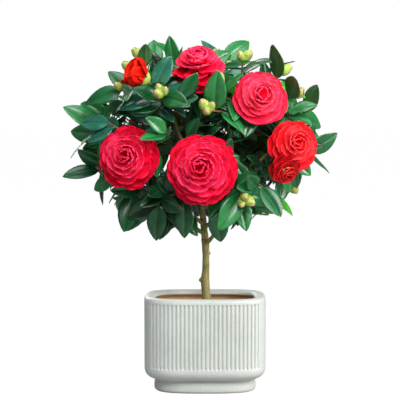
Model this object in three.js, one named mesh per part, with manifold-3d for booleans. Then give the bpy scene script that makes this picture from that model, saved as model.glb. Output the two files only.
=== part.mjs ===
// Camellia shrub grown as a small standard in a ribbed, glazed pot. Millimetres, +Z up.
// The origin is the centre of the pot's flat underside and the pot's front faces -Y.

import * as THREE from 'three';
import { mergeVertices } from 'three/addons/utils/BufferGeometryUtils.js';
import Module from 'manifold-3d';

const wasm = await Module();
wasm.setup();

const GAP = 0.3;
const UP = new THREE.Vector3(0, 0, 1);
const DEGREE = Math.PI / 180;

// Pot: a rounded rectangle in plan, with a foot, a rolled lip and upright grooves
const POT_HEIGHT = 172;
const POT_HALF_WIDTH = 109.5;
const POT_HALF_DEPTH = 70;
const POT_SEGMENTS = 36;
const BODY_POWER = 3.6;
const FOOT_POWER = 3;
const FOOT_HEIGHT = 24;
const FOOT_HALF_WIDTH = 92;
const FOOT_EDGE = 5;
const BELLY_HEIGHT = 43;
const WALL = 10;
const LIP_WIDTH = 20;
const LIP_DEPTH = 9;
const LIP_ROUND = 6;
const CAVITY_FLOOR = 34;
const CAVITY_ROUND = 12;
const SOIL_LEVEL = 137;
const GROOVE_PITCH = 7.45;
const GROOVES_A_SIDE = 13;
const GROOVE_WIDTH = 2.8;
const GROOVE_DEPTH = 1.9;
const GROOVE_BOTTOM = 46;
const GROOVE_TOP = 163;
const ARC_STEP = 0.1;

// Trunk: height above the pot's underside, place across and in depth, radius
const TRUNK = [
  [SOIL_LEVEL + GAP, 5.5, 1, 14],
  [146, 4.6, 0.8, 10.4],
  [160, 3.4, 0.5, 8.4],
  [178, 1.6, 0, 7],
  [197, 0.2, -0.6, 7.6],
  [216, 1.3, -0.4, 6.3],
  [240, 1.7, 0, 5.9],
  [258, 1.2, 0.2, 6.3],
  [272, 0.6, 0.2, 7],
];
const TRUNK_SIDES = 10;
const TRUNK_STEPS = 10;
const FLARE_LOBES = 5;
const FLARE_HEIGHT = 26;
const FLARE_DEPTH = 0.16;

// Stubs of old side shoots on the trunk: height, heading in degrees, length and radius
const STUBS = [[194, 180, 12.5, 4.6], [243, -15, 10, 2.8]];
const STUB_RISE = 29 * DEGREE;

// Leader above the fork, and the boughs that leave the trunk and it outward, then bend up
const LEADER_TOP = new THREE.Vector3(-9, 6, 470);
const LEADER_BOW = new THREE.Vector3(-12, -3, 372);
const LEADER_RADIUS = 6.2;
const LEADER_TIP_RADIUS = 2.8;
const LEADER_SIDES = 7;
const LEADER_STEPS = 6;
const BOUGH_RADIUS = 3.7;
const BOUGH_TIP_RADIUS = 2.7;
const BOUGH_REACH = 0.62;
const BOUGH_BEND = new THREE.Vector3(0.62, 0.62, 0.36);
const BOUGH_SIDES = 5;
const BOUGH_STEPS = 3;

// Crown: the shell that the shoots' tips lie on, and the box that the leaves keep to
const CROWN_CENTRE = new THREE.Vector3(-7, 0, 449);
const CROWN_ACROSS = 195;
const CROWN_DEPTH = 175;
const CROWN_UP = 160;
const CROWN_DOWN = 130;
const CROWN_POWER = 2.5;
const CROWN_LOW = new THREE.Vector3(-254, -246, 267);
const CROWN_HIGH = new THREE.Vector3(241, 232, 637);
const SPACE_MARGIN = 0.5;

// Masses of foliage: name, centre across, in depth and up from the crown's centre, and the height
// at which the mass's bough leaves the trunk or leader
const MASSES = [
  ['top', -2, -28, 116, 0],
  ['front', 2, -128, -31, 311],
  ['left_front', -95, -111, -16, 300],
  ['right_front', 122, -92, -12, 293],
  ['upper_right', 80, -104, 66, 372],
  ['upper_left', -72, -88, 88, 398],
  ['lower_left', -66, -84, -80, 281],
  ['lower_right', 66, -92, -78, 263],
  ['right', 146, 22, 8, 328],
  ['left', -146, 36, -8, 321],
  ['back_left', -84, 118, 8, 338],
  ['back_right', 76, 120, 6, 349],
  ['back_upper', 0, 92, 92, 414],
  ['back_lower', -4, 106, -78, 287],
];

// Shoots placed by hand: across and up from the crown's centre, share of the shell's depth there
// (negative at the front), what it carries, that thing's size, direction of its first leaf in degrees
const SHOOTS = [
  [-5, 141, -1, 'bloom', 88, 270],
  [101, 80, -1, 'bloom', 98, 235],
  [-125, -21, -1, 'bloom', 110, 180],
  [3, -41, -1, 'bloom', 123, 240],
  [160, -3, -1, 'bloom', 93, 330],
  [144, -46, -1, 'bloom', 66, 300],
  [-87, 105, -1, 'half_open', 47, 150],
  [-102, 146, -1, 'buds', 3, 200],
  [-66, 84, -1, 'buds', 3, 207],
  [10, 58, -1, 'buds', 3, 221],
  [135, 119, -1, 'buds', 2, 25],
  [72, 141, -1, 'buds', 2, 132],
  [162, 81, -1, 'buds', 2, 15],
  [72, -88, -1, 'buds', 3, 68],
  [-135, 92, -1, 'buds', 1, 200],
  [147, 40, -1, 'buds', 1, 3],
  [-158, 36, -1, 'leaves', 0, 120],
  [-152, -62, -1, 'leaves', 0, 207],
  [-74, -104, -1, 'leaves', 0, 250],
  [-28, -98, -1, 'leaves', 0, 290],
  [-52, 30, -1, 'leaves', 0, 160],
  [103, -72, -1, 'leaves', 0, 308],
  [192, -18, -1, 'leaves', 0, 250],
  [30, 100, -1, 'buds', 1, 30],
  [-22, 18, -0.66, 'leaves', 0, 110],
  [40, 22, -0.7, 'leaves', 0, 60],
  [-44, 128, -0.85, 'leaves', 0, 280],
  [40, 146, -0.6, 'leaves', 0, 60],
  [-84, 40, 1, 'bloom', 112, 60],
  [88, -28, 1, 'bloom', 104, 200],
  [6, 108, 1, 'bloom', 96, 120],
  [-4, -78, 1, 'buds', 3, 250],
  [156, 34, 1, 'bloom', 90, 90],
  [-178, -34, 1, 'bloom', 92, 20],
];
const FILL_SHOOTS = 60;
const FILL_FLOOR = -0.74;
const FILL_SPACING = 50;
const BUD_EVERY = 3;
const FILL_JITTER = 0.1;
const FILL_SEED = 500;
const BUD_SEED = 2000;
const LEAF_SEED = 4000;
const MOST_FILL_BUDS = 2.5;
const SHOOT_LIFT = 0.3;
const BLOOM_TURN = 1.4;

// Stems and twigs
const STEM_TIP_RADIUS = 2.4;
const STEM_SIDES = 5;
const STEM_STEPS = 3;
const STEM_BEND = 0.45;
const FIRST_TWIG = 0.35;
const TWIG_RADIUS = 1.7;
const TWIG_SIDES = 3;
const TWIG_STEPS = 3;
const TWIG_LEAD = 0.2;
const TWIG_REAR = 0.5;
const TWIG_BARE = 0.15;
const TWIG_SAMPLE = 0.05;
const NEAR = 0.02;

// Leaves: outline as shares of the length, place on the twig, attitude and room round them
const LEAVES_A_SHOOT = 9;
const LEAF_TURN = 144 * DEGREE;
const LEAF_LENGTH = 72;
const LEAF_LENGTH_SPREAD = 16;
const LEAF_HALF_WIDTH = 0.225;
const LEAF_SHOULDER = 0.3;
const LEAF_WAIST = 0.68;
const LEAF_WAIST_WIDTH = 0.88;
const LEAF_KEEL = 0.36;
const LEAF_FOLD = 0.03;
const LEAF_ARCH = 0.25;
const LEAF_DROOP = 0.12;
const LEAF_DROOP_SPREAD = 0.2;
const LEAF_THICKNESS = 1.5;
const LEAF_CLEAR = 3.5;
const LEAF_STEP = 7;
const LEAF_SINK = 0.4;
const LEAF_SPREAD = { first: 44 * DEGREE, step: 7 * DEGREE };
const BLOOM_LEAF_SPREAD = { first: 78 * DEGREE, step: 5 * DEGREE };
const LEAF_WOBBLE = 14 * DEGREE;
const LEAF_SAG = 0.14;
const LEAF_ROLL = 60 * DEGREE;
const LIGHT = new THREE.Vector3(0.1, -0.55, 0.5);
const LIGHT_BEHIND = new THREE.Vector3(0, 0.2, 0.6);
const LEAF_TRIES = 10;
const LEAF_STEER = 17 * DEGREE;
const LEAF_SHRINK = 0.04;
const LEAF_ROOM = 1.5;
const TWIG_ROOM = 1;

// Buds, the half-open flower and blooms
const BUD_LENGTH = 25;
const BUD_RADIUS = 8;
const BUD_TILT = 0.62;
const LONE_BUD_TILT = 0.15;
const BUD_SPREAD = 0.3;
const EGG_BACK = 0.45;
const EGG_SINK = 0.8;
const HALF_OPEN_LEAN = 135 * DEGREE;
const HALF_OPEN_PLUMP = 0.42;
const BUD_SEGMENTS = 5;
const HALF_OPEN_SEGMENTS = 10;
const BLOOM_SEGMENTS = 14;
const BLOOM_FRONT = 0.36;
const BLOOM_BACK = 0.4;

// Fusing: vertices nearer than this make slivers, which moving a piece by a hair avoids
const SHORTEST_EDGE = 0.005;
const HAIR = new THREE.Vector3(0.04, 0.03, -0.05);
const FUSE_TRIES = 8;

// Colours and finish
const GLAZE = { color: 0xd9ddd8, roughness: 0.55 };
const SOIL = { color: 0x4a3a2c, roughness: 0.95 };
const BARK = { color: 0x8b8259, roughness: 0.85 };
const FOLIAGE = [0x1f5a32, 0x2a6a38, 0x24603c, 0x306f36];

// Repeatable random numbers between 0 and 1, the same for the same seed
function seeded(seed) {
  let state = (seed * 7919 + 104729) % 2147483647;
  return () => {
    state = (state * 16807) % 2147483647;
    return state / 2147483647;
  };
}

// Closed three.js geometry to a solid, with its shared vertices merged and its faces pointing out
function toSolid(geometry) {
  const bare = geometry.clone();
  bare.deleteAttribute('normal');
  bare.deleteAttribute('uv');
  const merged = mergeVertices(bare, 1e-4);
  const place = merged.attributes.position.array;
  const corners = merged.index.array;
  const faces = [];
  let volume = 0;
  for (let i = 0; i < corners.length; i += 3) {
    const [a, b, c] = corners.slice(i, i + 3);
    if (a === b || b === c || c === a) continue;
    faces.push(a, b, c);
    const va = new THREE.Vector3().fromArray(place, a * 3);
    const vb = new THREE.Vector3().fromArray(place, b * 3);
    const vc = new THREE.Vector3().fromArray(place, c * 3);
    volume += va.dot(vb.cross(vc));
  }
  if (volume < 0) faces.reverse();
  return new wasm.Manifold(new wasm.Mesh({
    numProp: 3,
    vertProperties: Float32Array.from(place),
    triVerts: Uint32Array.from(faces),
  }));
}

// The one body of a fused solid, without loose scraps and with any hollow sealed in it filled
function oneBody(solid) {
  return solid.decompose().reduce((most, body) => (body.volume() > most.volume() ? body : most));
}

// Whether any two vertices of a solid lie nearer than the shortest edge worth keeping
function hasSlivers(solid) {
  const { vertProperties } = solid.getMesh();
  const points = [];
  for (let i = 0; i < vertProperties.length; i += 3) points.push(vertProperties.slice(i, i + 3));
  points.sort((a, b) => a[0] - b[0]);
  return points.some((point, i) => {
    for (let j = i + 1; j < points.length && points[j][0] - point[0] < SHORTEST_EDGE; j += 1) {
      if (Math.hypot(...point.map((value, axis) => value - points[j][axis])) < SHORTEST_EDGE) return true;
    }
    return false;
  });
}

// Joins a piece on, moved by a hair where its joint would leave slivers
function fuse(solid, geometry) {
  for (let tries = 0; tries < FUSE_TRIES; tries += 1) {
    const joined = oneBody(solid.add(toSolid(geometry)));
    if (!hasSlivers(joined)) return joined;
    geometry.translate(HAIR.x, HAIR.y, HAIR.z);
  }
  return solid;
}

// Solid to a named mesh
function toMesh(name, solid, finish) {
  const { vertProperties, triVerts } = solid.getMesh();
  const geometry = new THREE.BufferGeometry();
  geometry.setAttribute('position', new THREE.BufferAttribute(vertProperties, 3));
  geometry.setIndex(new THREE.BufferAttribute(triVerts, 1));
  geometry.computeVertexNormals();
  const mesh = new THREE.Mesh(geometry, new THREE.MeshStandardMaterial({ metalness: 0, ...finish }));
  mesh.name = name;
  return mesh;
}

// Moves every vertex of a geometry by a function of its place
function reshape(geometry, move) {
  const place = geometry.attributes.position;
  const point = new THREE.Vector3();
  for (let i = 0; i < place.count; i += 1) {
    point.fromBufferAttribute(place, i);
    const moved = move(point);
    place.setXYZ(i, moved.x, moved.y, moved.z);
  }
  return geometry;
}

// Place on the pot's plan: half its width there, the direction round it and the corner's power
function planPoint(halfWidth, turn, power) {
  const halfDepth = halfWidth - POT_HALF_WIDTH + POT_HALF_DEPTH;
  const across = Math.cos(turn);
  const back = Math.sin(turn);
  const x = halfWidth * Math.sign(across) * Math.abs(across) ** (2 / power);
  const y = halfDepth * Math.sign(back) * Math.abs(back) ** (2 / power);
  return [x, y];
}

// Turned profile of half widths and heights, stretched from a circle to the pot's plan
function potTurning(profile) {
  const points = profile.map(([halfWidth, height]) => new THREE.Vector2(halfWidth, height));
  const turned = new THREE.LatheGeometry(points, POT_SEGMENTS);
  return reshape(turned, (point) => {
    const halfWidth = Math.hypot(point.x, point.z);
    if (halfWidth < 1e-6) return new THREE.Vector3(0, 0, point.y);
    const power = point.y < FOOT_HEIGHT - 1 ? FOOT_POWER : BODY_POWER;
    const [x, y] = planPoint(halfWidth, Math.atan2(-point.z, point.x), power);
    return new THREE.Vector3(x, y, point.y);
  });
}

// Quarter of an ellipse between two profile points, leaving the first one level
function quarter(from, to, steps) {
  const points = [];
  for (let i = 0; i <= steps; i += 1) {
    const angle = (i / steps) * Math.PI / 2;
    points.push([from[0] + (to[0] - from[0]) * Math.sin(angle), to[1] + (from[1] - to[1]) * Math.cos(angle)]);
  }
  return points;
}

// Places at equal steps along half of the front wall, from its middle towards the corner
function grooveStations() {
  const stations = [];
  let arc = 0;
  let last = [0, -POT_HALF_DEPTH];
  for (let x = 0; stations.length <= GROOVES_A_SIDE; x += ARC_STEP) {
    const y = -POT_HALF_DEPTH * (1 - (x / POT_HALF_WIDTH) ** BODY_POWER) ** (1 / BODY_POWER);
    arc += Math.hypot(x - last[0], y - last[1]);
    last = [x, y];
    if (arc >= stations.length * GROOVE_PITCH) stations.push(last);
  }
  return stations;
}

// Grooves: upright wedge cutters, mirrored to both halves of the front wall and of the back wall
function grooveCutters() {
  const section = new THREE.Shape([
    new THREE.Vector2(-GROOVE_WIDTH, GROOVE_DEPTH),
    new THREE.Vector2(-GROOVE_WIDTH / 5, -GROOVE_DEPTH),
    new THREE.Vector2(GROOVE_WIDTH / 5, -GROOVE_DEPTH),
    new THREE.Vector2(GROOVE_WIDTH, GROOVE_DEPTH),
  ]);
  const depth = GROOVE_TOP - GROOVE_BOTTOM;
  const cutters = [];
  for (const [x, y] of grooveStations()) {
    const slope = (x / POT_HALF_WIDTH) ** (BODY_POWER - 1) / POT_HALF_WIDTH;
    const face = (Math.abs(y) / POT_HALF_DEPTH) ** (BODY_POWER - 1) / POT_HALF_DEPTH;
    const angle = Math.atan2(slope, face);
    for (const side of x > 0 ? [1, -1] : [1]) {
      const wedge = new THREE.ExtrudeGeometry(section, { depth, bevelEnabled: false });
      wedge.rotateZ(Math.PI + side * angle);
      wedge.translate(side * x, y, GROOVE_BOTTOM);
      cutters.push(toSolid(wedge), toSolid(wedge.clone().rotateZ(Math.PI)));
    }
  }
  return cutters;
}

function makePot() {
  const inner = POT_HALF_WIDTH - LIP_WIDTH;
  const cavity = POT_HALF_WIDTH - WALL;
  const lipBottom = POT_HEIGHT - LIP_DEPTH;
  const profile = [
    [0, 0],
    [FOOT_HALF_WIDTH - FOOT_EDGE, 0],
    [FOOT_HALF_WIDTH - FOOT_EDGE / 4, FOOT_EDGE / 2],
    [FOOT_HALF_WIDTH, FOOT_EDGE * 1.5],
    ...quarter([FOOT_HALF_WIDTH - 2, FOOT_HEIGHT], [POT_HALF_WIDTH, BELLY_HEIGHT], 3),
    [POT_HALF_WIDTH, POT_HEIGHT - LIP_ROUND],
    [POT_HALF_WIDTH - LIP_ROUND * 0.3, POT_HEIGHT - LIP_ROUND * 0.3],
    [POT_HALF_WIDTH - LIP_ROUND, POT_HEIGHT],
    [inner + LIP_ROUND, POT_HEIGHT - 1],
    [inner, POT_HEIGHT - LIP_ROUND],
    [inner + 1.5, lipBottom],
    [cavity, lipBottom - 4],
    [cavity, CAVITY_FLOOR + CAVITY_ROUND],
    [cavity - CAVITY_ROUND, CAVITY_FLOOR],
    [0, CAVITY_FLOOR],
  ];
  let pot = toSolid(potTurning(profile));
  for (const cutter of grooveCutters()) pot = pot.subtract(cutter);
  return toMesh('pot', pot, GLAZE);
}

// Potting soil: fills the cavity to well below the lip
function makeSoil() {
  const cavity = POT_HALF_WIDTH - WALL - GAP;
  const soil = potTurning([
    [0, CAVITY_FLOOR + GAP],
    [cavity - CAVITY_ROUND, CAVITY_FLOOR + GAP],
    [cavity, CAVITY_FLOOR + CAVITY_ROUND + GAP],
    [cavity, SOIL_LEVEL],
    [0, SOIL_LEVEL],
  ]);
  return toMesh('soil', toSolid(soil), SOIL);
}

// Place on the quadratic curve of three control points
function bow(a, b, c, t) {
  const first = a.clone().lerp(b, t);
  return first.lerp(b.clone().lerp(c, t), t);
}

// Place on the straight stretches that a curve is made of, so that what grows there is rooted
function onChord(pointAt, steps, t) {
  const step = Math.min(Math.floor(t * steps), steps - 1);
  return pointAt(step / steps).lerp(pointAt((step + 1) / steps), t * steps - step);
}

// Unit vector square to an axis, level if it can be: to the right as seen from outside the crown
function sideOf(axis) {
  return new THREE.Vector3(0, 0.2, 1).cross(axis).normalize();
}

// Tapering limb: a cylinder bent along a path, with a radius for each part of its length. A level
// limb has flat, level sections, so that it stands square on what is under it.
function bendLimb(pointAt, radiusAt, sides, steps, level = false) {
  const straight = new THREE.CylinderGeometry(1, 1, 1, sides, steps);
  const chord = pointAt(1).sub(pointAt(0)).normalize();
  const reference = Math.abs(chord.z) > 0.8 ? new THREE.Vector3(0, 1, 0) : UP;
  return reshape(straight, (point) => {
    const t = Math.min(Math.max(point.y + 0.5, 0), 1);
    const before = pointAt(Math.max(t - 0.01, 0));
    const tangent = level ? UP : pointAt(Math.min(t + 0.01, 1)).sub(before).normalize();
    const side = reference.clone().cross(tangent).normalize();
    const other = tangent.clone().cross(side);
    const angle = Math.atan2(point.z, point.x);
    const radius = Math.hypot(point.x, point.z) * radiusAt(t, angle);
    return pointAt(t)
      .addScaledVector(side, radius * Math.cos(angle))
      .addScaledVector(other, radius * Math.sin(angle));
  });
}

// Trunk at a height: its place across, its place in depth and its radius
function trunkAt(height) {
  const upper = Math.max(TRUNK.findIndex(([level]) => level >= height), 1);
  const [low, high] = TRUNK.slice(upper - 1, upper + 1);
  const share = THREE.MathUtils.clamp((height - low[0]) / (high[0] - low[0]), 0, 1);
  return low.slice(1).map((value, i) => THREE.MathUtils.lerp(value, high[i + 1], share));
}

const TRUNK_FOOT = TRUNK[0][0];
const TRUNK_TOP = TRUNK[TRUNK.length - 1][0];

function trunkPoint(t) {
  const height = THREE.MathUtils.lerp(TRUNK_FOOT, TRUNK_TOP, t);
  const [across, depth] = trunkAt(height);
  return new THREE.Vector3(across, depth, height);
}

function trunkRadius(t) {
  return trunkAt(trunkPoint(t).z)[2];
}

function trunkShare(height) {
  return (height - TRUNK_FOOT) / (TRUNK_TOP - TRUNK_FOOT);
}

// Trunk: flared and lobed at the soil, with the stubs of two old side shoots
function trunkSolid(extra) {
  const body = bendLimb(trunkPoint, (t, angle) => {
    const flare = Math.max(0, 1 - (trunkPoint(t).z - SOIL_LEVEL) / FLARE_HEIGHT);
    return trunkRadius(t) * (1 + FLARE_DEPTH * flare * Math.cos(FLARE_LOBES * angle)) + extra;
  }, TRUNK_SIDES, TRUNK_STEPS, true);
  let solid = toSolid(body);
  for (const [height, heading, length, radius] of STUBS) {
    const stub = new THREE.ConeGeometry(radius + extra, length, 6);
    stub.translate(0, length / 2, 0);
    stub.rotateZ(STUB_RISE - Math.PI / 2);
    stub.rotateX(Math.PI / 2);
    stub.rotateZ(heading * DEGREE);
    stub.translate(...trunkPoint(trunkShare(height)).toArray());
    solid = solid.add(toSolid(stub));
  }
  return solid;
}

// Leader: the stem that goes on from the fork up through the crown
function leaderPoint(t) {
  return bow(trunkPoint(1).addScaledVector(UP, GAP), LEADER_BOW, LEADER_TOP, t);
}

function leaderRadius(t) {
  return LEADER_RADIUS + (LEADER_TIP_RADIUS - LEADER_RADIUS) * t;
}

function leaderSolid(extra) {
  const radiusAt = (t) => leaderRadius(t) + extra;
  return toSolid(bendLimb(leaderPoint, radiusAt, LEADER_SIDES, LEADER_STEPS, true));
}

// Point of the leader at a height, found by halving
function leaderAt(height) {
  let [low, high] = [0, 1];
  for (let i = 0; i < 30; i += 1) {
    const middle = (low + high) / 2;
    if (leaderPoint(middle).z < height) low = middle;
    else high = middle;
  }
  return leaderPoint(low);
}

// Mass of foliage, with the bough that carries it: the top one grows straight on from the leader
function planMass([name, across, depth, up, height]) {
  const centre = CROWN_CENTRE.clone().add(new THREE.Vector3(across, depth, up));
  if (height === 0) {
    return { name, centre, tip: LEADER_TOP, tangent: UP, tipRadius: LEADER_TIP_RADIUS };
  }
  const onTrunk = height < TRUNK_TOP;
  const foot = onTrunk ? trunkPoint(trunkShare(height)) : leaderAt(height);
  const tip = foot.clone().lerp(centre, BOUGH_REACH);
  const bend = tip.clone().sub(foot).multiply(BOUGH_BEND).add(foot);
  const tangent = tip.clone().sub(bend).normalize();
  return { name, centre, onTrunk, foot, bend, tip, tangent, tipRadius: BOUGH_TIP_RADIUS };
}

const masses = MASSES.map(planMass);

function boughPoint(mass, t) {
  return bow(mass.foot, mass.bend, mass.tip, t);
}

function boughRadius(t) {
  return BOUGH_RADIUS + (BOUGH_TIP_RADIUS - BOUGH_RADIUS) * t;
}

function stemPoint(mass, t) {
  const foot = mass.tip.clone().addScaledVector(mass.tangent, GAP);
  const bend = foot.clone().addScaledVector(mass.tangent, STEM_BEND * foot.distanceTo(mass.centre));
  return onChord((share) => bow(foot, bend, mass.centre, share), STEM_STEPS, t);
}

// Distance inside a mass's own space, which is nearer to its centre than to any other mass's
function inSpace(mass, point) {
  let least = Infinity;
  for (const other of masses) {
    if (other === mass) continue;
    const nearer = point.distanceToSquared(other.centre) - point.distanceToSquared(mass.centre);
    least = Math.min(least, nearer / (2 * other.centre.distanceTo(mass.centre)));
  }
  return least;
}

// Crown's shell: reach along a direction, depth at a place across and up, and outward normal
function shellHeight(up) {
  return up > 0 ? CROWN_UP : CROWN_DOWN;
}

function shellSum(offset) {
  return (Math.abs(offset.x) / CROWN_ACROSS) ** CROWN_POWER
    + (Math.abs(offset.y) / CROWN_DEPTH) ** CROWN_POWER
    + (Math.abs(offset.z) / shellHeight(offset.z)) ** CROWN_POWER;
}

function shellDepth(across, up) {
  const rest = 1 - shellSum(new THREE.Vector3(across, 0, up));
  return CROWN_DEPTH * Math.max(rest, 0) ** (1 / CROWN_POWER);
}

function shellNormal(offset) {
  const pull = (value, half) => Math.sign(value) * (Math.abs(value) / half) ** (CROWN_POWER - 1) / half;
  return new THREE.Vector3(
    pull(offset.x, CROWN_ACROSS),
    pull(offset.y, CROWN_DEPTH),
    pull(offset.z, shellHeight(offset.z)),
  ).normalize();
}

// Shoot: where it ends, the way it faces, what it carries and the mass that it grows in
function makeShoot(offset, kind, size, turn, seed) {
  const axis = shellNormal(offset).addScaledVector(UP, SHOOT_LIFT);
  if (kind === 'bloom' && offset.y < 0) axis.y -= BLOOM_TURN;
  axis.normalize();
  const tip = CROWN_CENTRE.clone().add(offset);
  const mass = masses.reduce((near, other) => (
    other.centre.distanceTo(tip) < near.centre.distanceTo(tip) ? other : near));
  return { tip, axis, kind, size, turn: turn * DEGREE, seed, mass };
}

// All shoots: those placed by hand, then others at even steps over the shell where there is room
function allShoots() {
  const shoots = SHOOTS.map(([across, up, share, kind, size, turn], index) => {
    const offset = new THREE.Vector3(across, share * shellDepth(across, up), up);
    return makeShoot(offset, kind, size, turn, index + 1);
  });
  for (let i = 0; i < FILL_SHOOTS; i += 1) {
    const height = 1 - (2 * i + 1) / FILL_SHOOTS;
    const round = i * Math.PI * (3 - Math.sqrt(5));
    const level = Math.sqrt(1 - height * height);
    const way = new THREE.Vector3(level * Math.cos(round), level * Math.sin(round), height);
    const draw = seeded(FILL_SEED + i);
    const reach = (1 - FILL_JITTER * draw()) * shellSum(way) ** (-1 / CROWN_POWER);
    const offset = way.multiplyScalar(reach);
    const tip = CROWN_CENTRE.clone().add(offset);
    const crowded = shoots.slice(0, SHOOTS.length).some((other) => (
      other.tip.distanceTo(tip) < FILL_SPACING + (other.kind === 'bloom' ? other.size / 4 : 0)));
    if (height < FILL_FLOOR || crowded) continue;
    const kind = i % BUD_EVERY === 0 ? 'buds' : 'leaves';
    const buds = 1 + Math.floor(draw() * MOST_FILL_BUDS);
    shoots.push(makeShoot(offset, kind, buds, draw() * 360, FILL_SEED + i));
  }
  return shoots;
}

// Twig: leaves its mass's stem along it and ends along the shoot's axis
function twigPoint({ root, lead, rear, tip }, t) {
  const pointAt = (share) => bow(root, lead, rear, share).lerp(bow(lead, rear, tip, share), share);
  return onChord(pointAt, TWIG_STEPS, t);
}

// Roots a shoot's twig on the stem and bends it so that it keeps to the mass's space
function plantTwig(shoot, rank, count) {
  const { mass, tip, axis } = shoot;
  const share = FIRST_TWIG + (1 - FIRST_TWIG) * (rank + 0.5) / count;
  shoot.root = stemPoint(mass, share);
  const span = shoot.root.distanceTo(tip);
  const along = stemPoint(mass, share + NEAR).sub(stemPoint(mass, share - NEAR)).normalize();
  shoot.lead = shoot.root.clone().addScaledVector(along, TWIG_LEAD * span);
  let pull = TWIG_REAR;
  do {
    shoot.rear = tip.clone().addScaledVector(axis, -pull * span);
    pull -= 0.1;
  } while (pull > 0 && inSpace(mass, shoot.rear) < 3);
}

// Whether a twig keeps off every limb and off what other shoots carry
function twigFits(shoot) {
  const others = planned.filter((other) => other !== shoot).flatMap(shootCargo);
  for (let t = 0; t <= 1; t += TWIG_SAMPLE) {
    const point = twigPoint(shoot, t);
    const isNear = ({ from, to, radius, owner }) => (
      owner !== shoot.mass && pointDistance(point, from, to) < radius + TWIG_RADIUS + TWIG_ROOM);
    if (limbs.some(isNear) || others.some((cargo) => touchesCargo(point, cargo, TWIG_RADIUS))) return false;
  }
  return true;
}

// Egg-shaped thing at a shoot's tip: its middle, axis and reach across, forward and back
function makeEgg(kind, foot, axis, length, radius) {
  const back = length * EGG_BACK;
  const centre = foot.clone().addScaledVector(axis, back - EGG_SINK);
  return { kind, centre, axis, radius, front: length - back, back };
}

// What a shoot carries at its tip, for the leaves to keep off
function shootCargo({ tip, axis, kind, size, seed }) {
  const right = sideOf(axis);
  const above = axis.clone().cross(right);
  const lean = (tilt, round) => axis.clone()
    .addScaledVector(right, tilt * Math.cos(round))
    .addScaledVector(above, tilt * Math.sin(round))
    .normalize();
  if (kind === 'bloom') {
    const radius = size / 2;
    return [{ kind, centre: tip, axis, radius, front: radius * BLOOM_FRONT, back: radius * BLOOM_BACK }];
  }
  if (kind === 'half_open') {
    return [makeEgg(kind, tip, lean(BUD_TILT, HALF_OPEN_LEAN), size, size * HALF_OPEN_PLUMP)];
  }
  if (kind !== 'buds') return [];
  const draw = seeded(seed + BUD_SEED);
  const first = draw() * 2 * Math.PI;
  const cargo = [];
  for (let i = 0; i < size; i += 1) {
    const way = lean(size === 1 ? LONE_BUD_TILT : BUD_TILT, first + i * 2 * Math.PI / size);
    const share = 1 + BUD_SPREAD * (draw() - 0.5);
    cargo.push(makeEgg('bud', tip, way, BUD_LENGTH * share, BUD_RADIUS * share));
  }
  return cargo;
}

// Is a point within the cargo, with this much room round it
function touchesCargo(point, cargo, room) {
  const away = point.clone().sub(cargo.centre);
  const along = away.dot(cargo.axis);
  const out = Math.sqrt(Math.max(away.lengthSq() - along * along, 0));
  const reach = (along > 0 ? cargo.front : cargo.back) + room;
  return (out / (cargo.radius + room)) ** 2 + (along / reach) ** 2 < 1;
}

// Leaf: its outline from root to tip and back, then the keel under its midrib
function leafPoints({ root, heading, face, length, droop }) {
  const side = heading.clone().cross(face);
  const at = (along, across, lift) => root.clone()
    .addScaledVector(heading, along * length)
    .addScaledVector(side, across * length)
    .addScaledVector(face, (lift + droop * along * (LEAF_ARCH - along)) * length);
  const waist = LEAF_HALF_WIDTH * LEAF_WAIST_WIDTH;
  return [
    at(0, 0, 0),
    at(LEAF_SHOULDER, LEAF_HALF_WIDTH, LEAF_FOLD),
    at(LEAF_WAIST, waist, LEAF_FOLD),
    at(1, 0, 0),
    at(LEAF_WAIST, -waist, LEAF_FOLD),
    at(LEAF_SHOULDER, -LEAF_HALF_WIDTH, LEAF_FOLD),
    at(LEAF_KEEL, 0, LEAF_FOLD - LEAF_THICKNESS / length),
  ];
}

// Its faces: the underside round the keel, then the upper side straight across
const LEAF_FACES = [
  ...[0, 1, 2, 3, 4, 5].flatMap((i) => [(i + 1) % 6, i, 6]),
  ...[0, 1, 5, 1, 4, 5, 1, 2, 4, 2, 3, 4],
];

function pointDistance(point, from, to) {
  const line = new THREE.Line3(from, to);
  return line.closestPointToPoint(point, true, new THREE.Vector3()).distanceTo(point);
}

// Does the line between two points pass through a triangle
function pierces(from, to, a, b, c) {
  const way = to.clone().sub(from);
  const ray = new THREE.Ray(from, way.clone().normalize());
  const hit = ray.intersectTriangle(a, b, c, false, new THREE.Vector3());
  return hit !== null && hit.distanceTo(from) < way.length();
}

function piercesLeaf(from, to, { points }) {
  return [0, 1, 2, 3, 4, 5].some((i) => pierces(from, to, points[i], points[(i + 1) % 6], points[6]));
}

function leavesCross(one, other) {
  const apart = one.points[6].distanceTo(other.points[6]);
  if (apart > (1 - LEAF_KEEL) * (one.length + other.length)) return false;
  const lines = [[0, 6], [6, 3], ...[0, 1, 2, 3, 4, 5].map((i) => [i, (i + 1) % 6])];
  return lines.some(([from, to]) => (
    piercesLeaf(one.points[from], one.points[to], other)
      || piercesLeaf(other.points[from], other.points[to], one)));
}

// Points over the leaf at which its room is tested
function leafSamples(points) {
  const samples = points.slice(1);
  for (let i = 0; i < 6; i += 1) {
    samples.push(points[i].clone().lerp(points[(i + 1) % 6], 0.5));
    if (i > 0) samples.push(points[i].clone().lerp(points[6], 0.5));
  }
  return samples;
}

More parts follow.
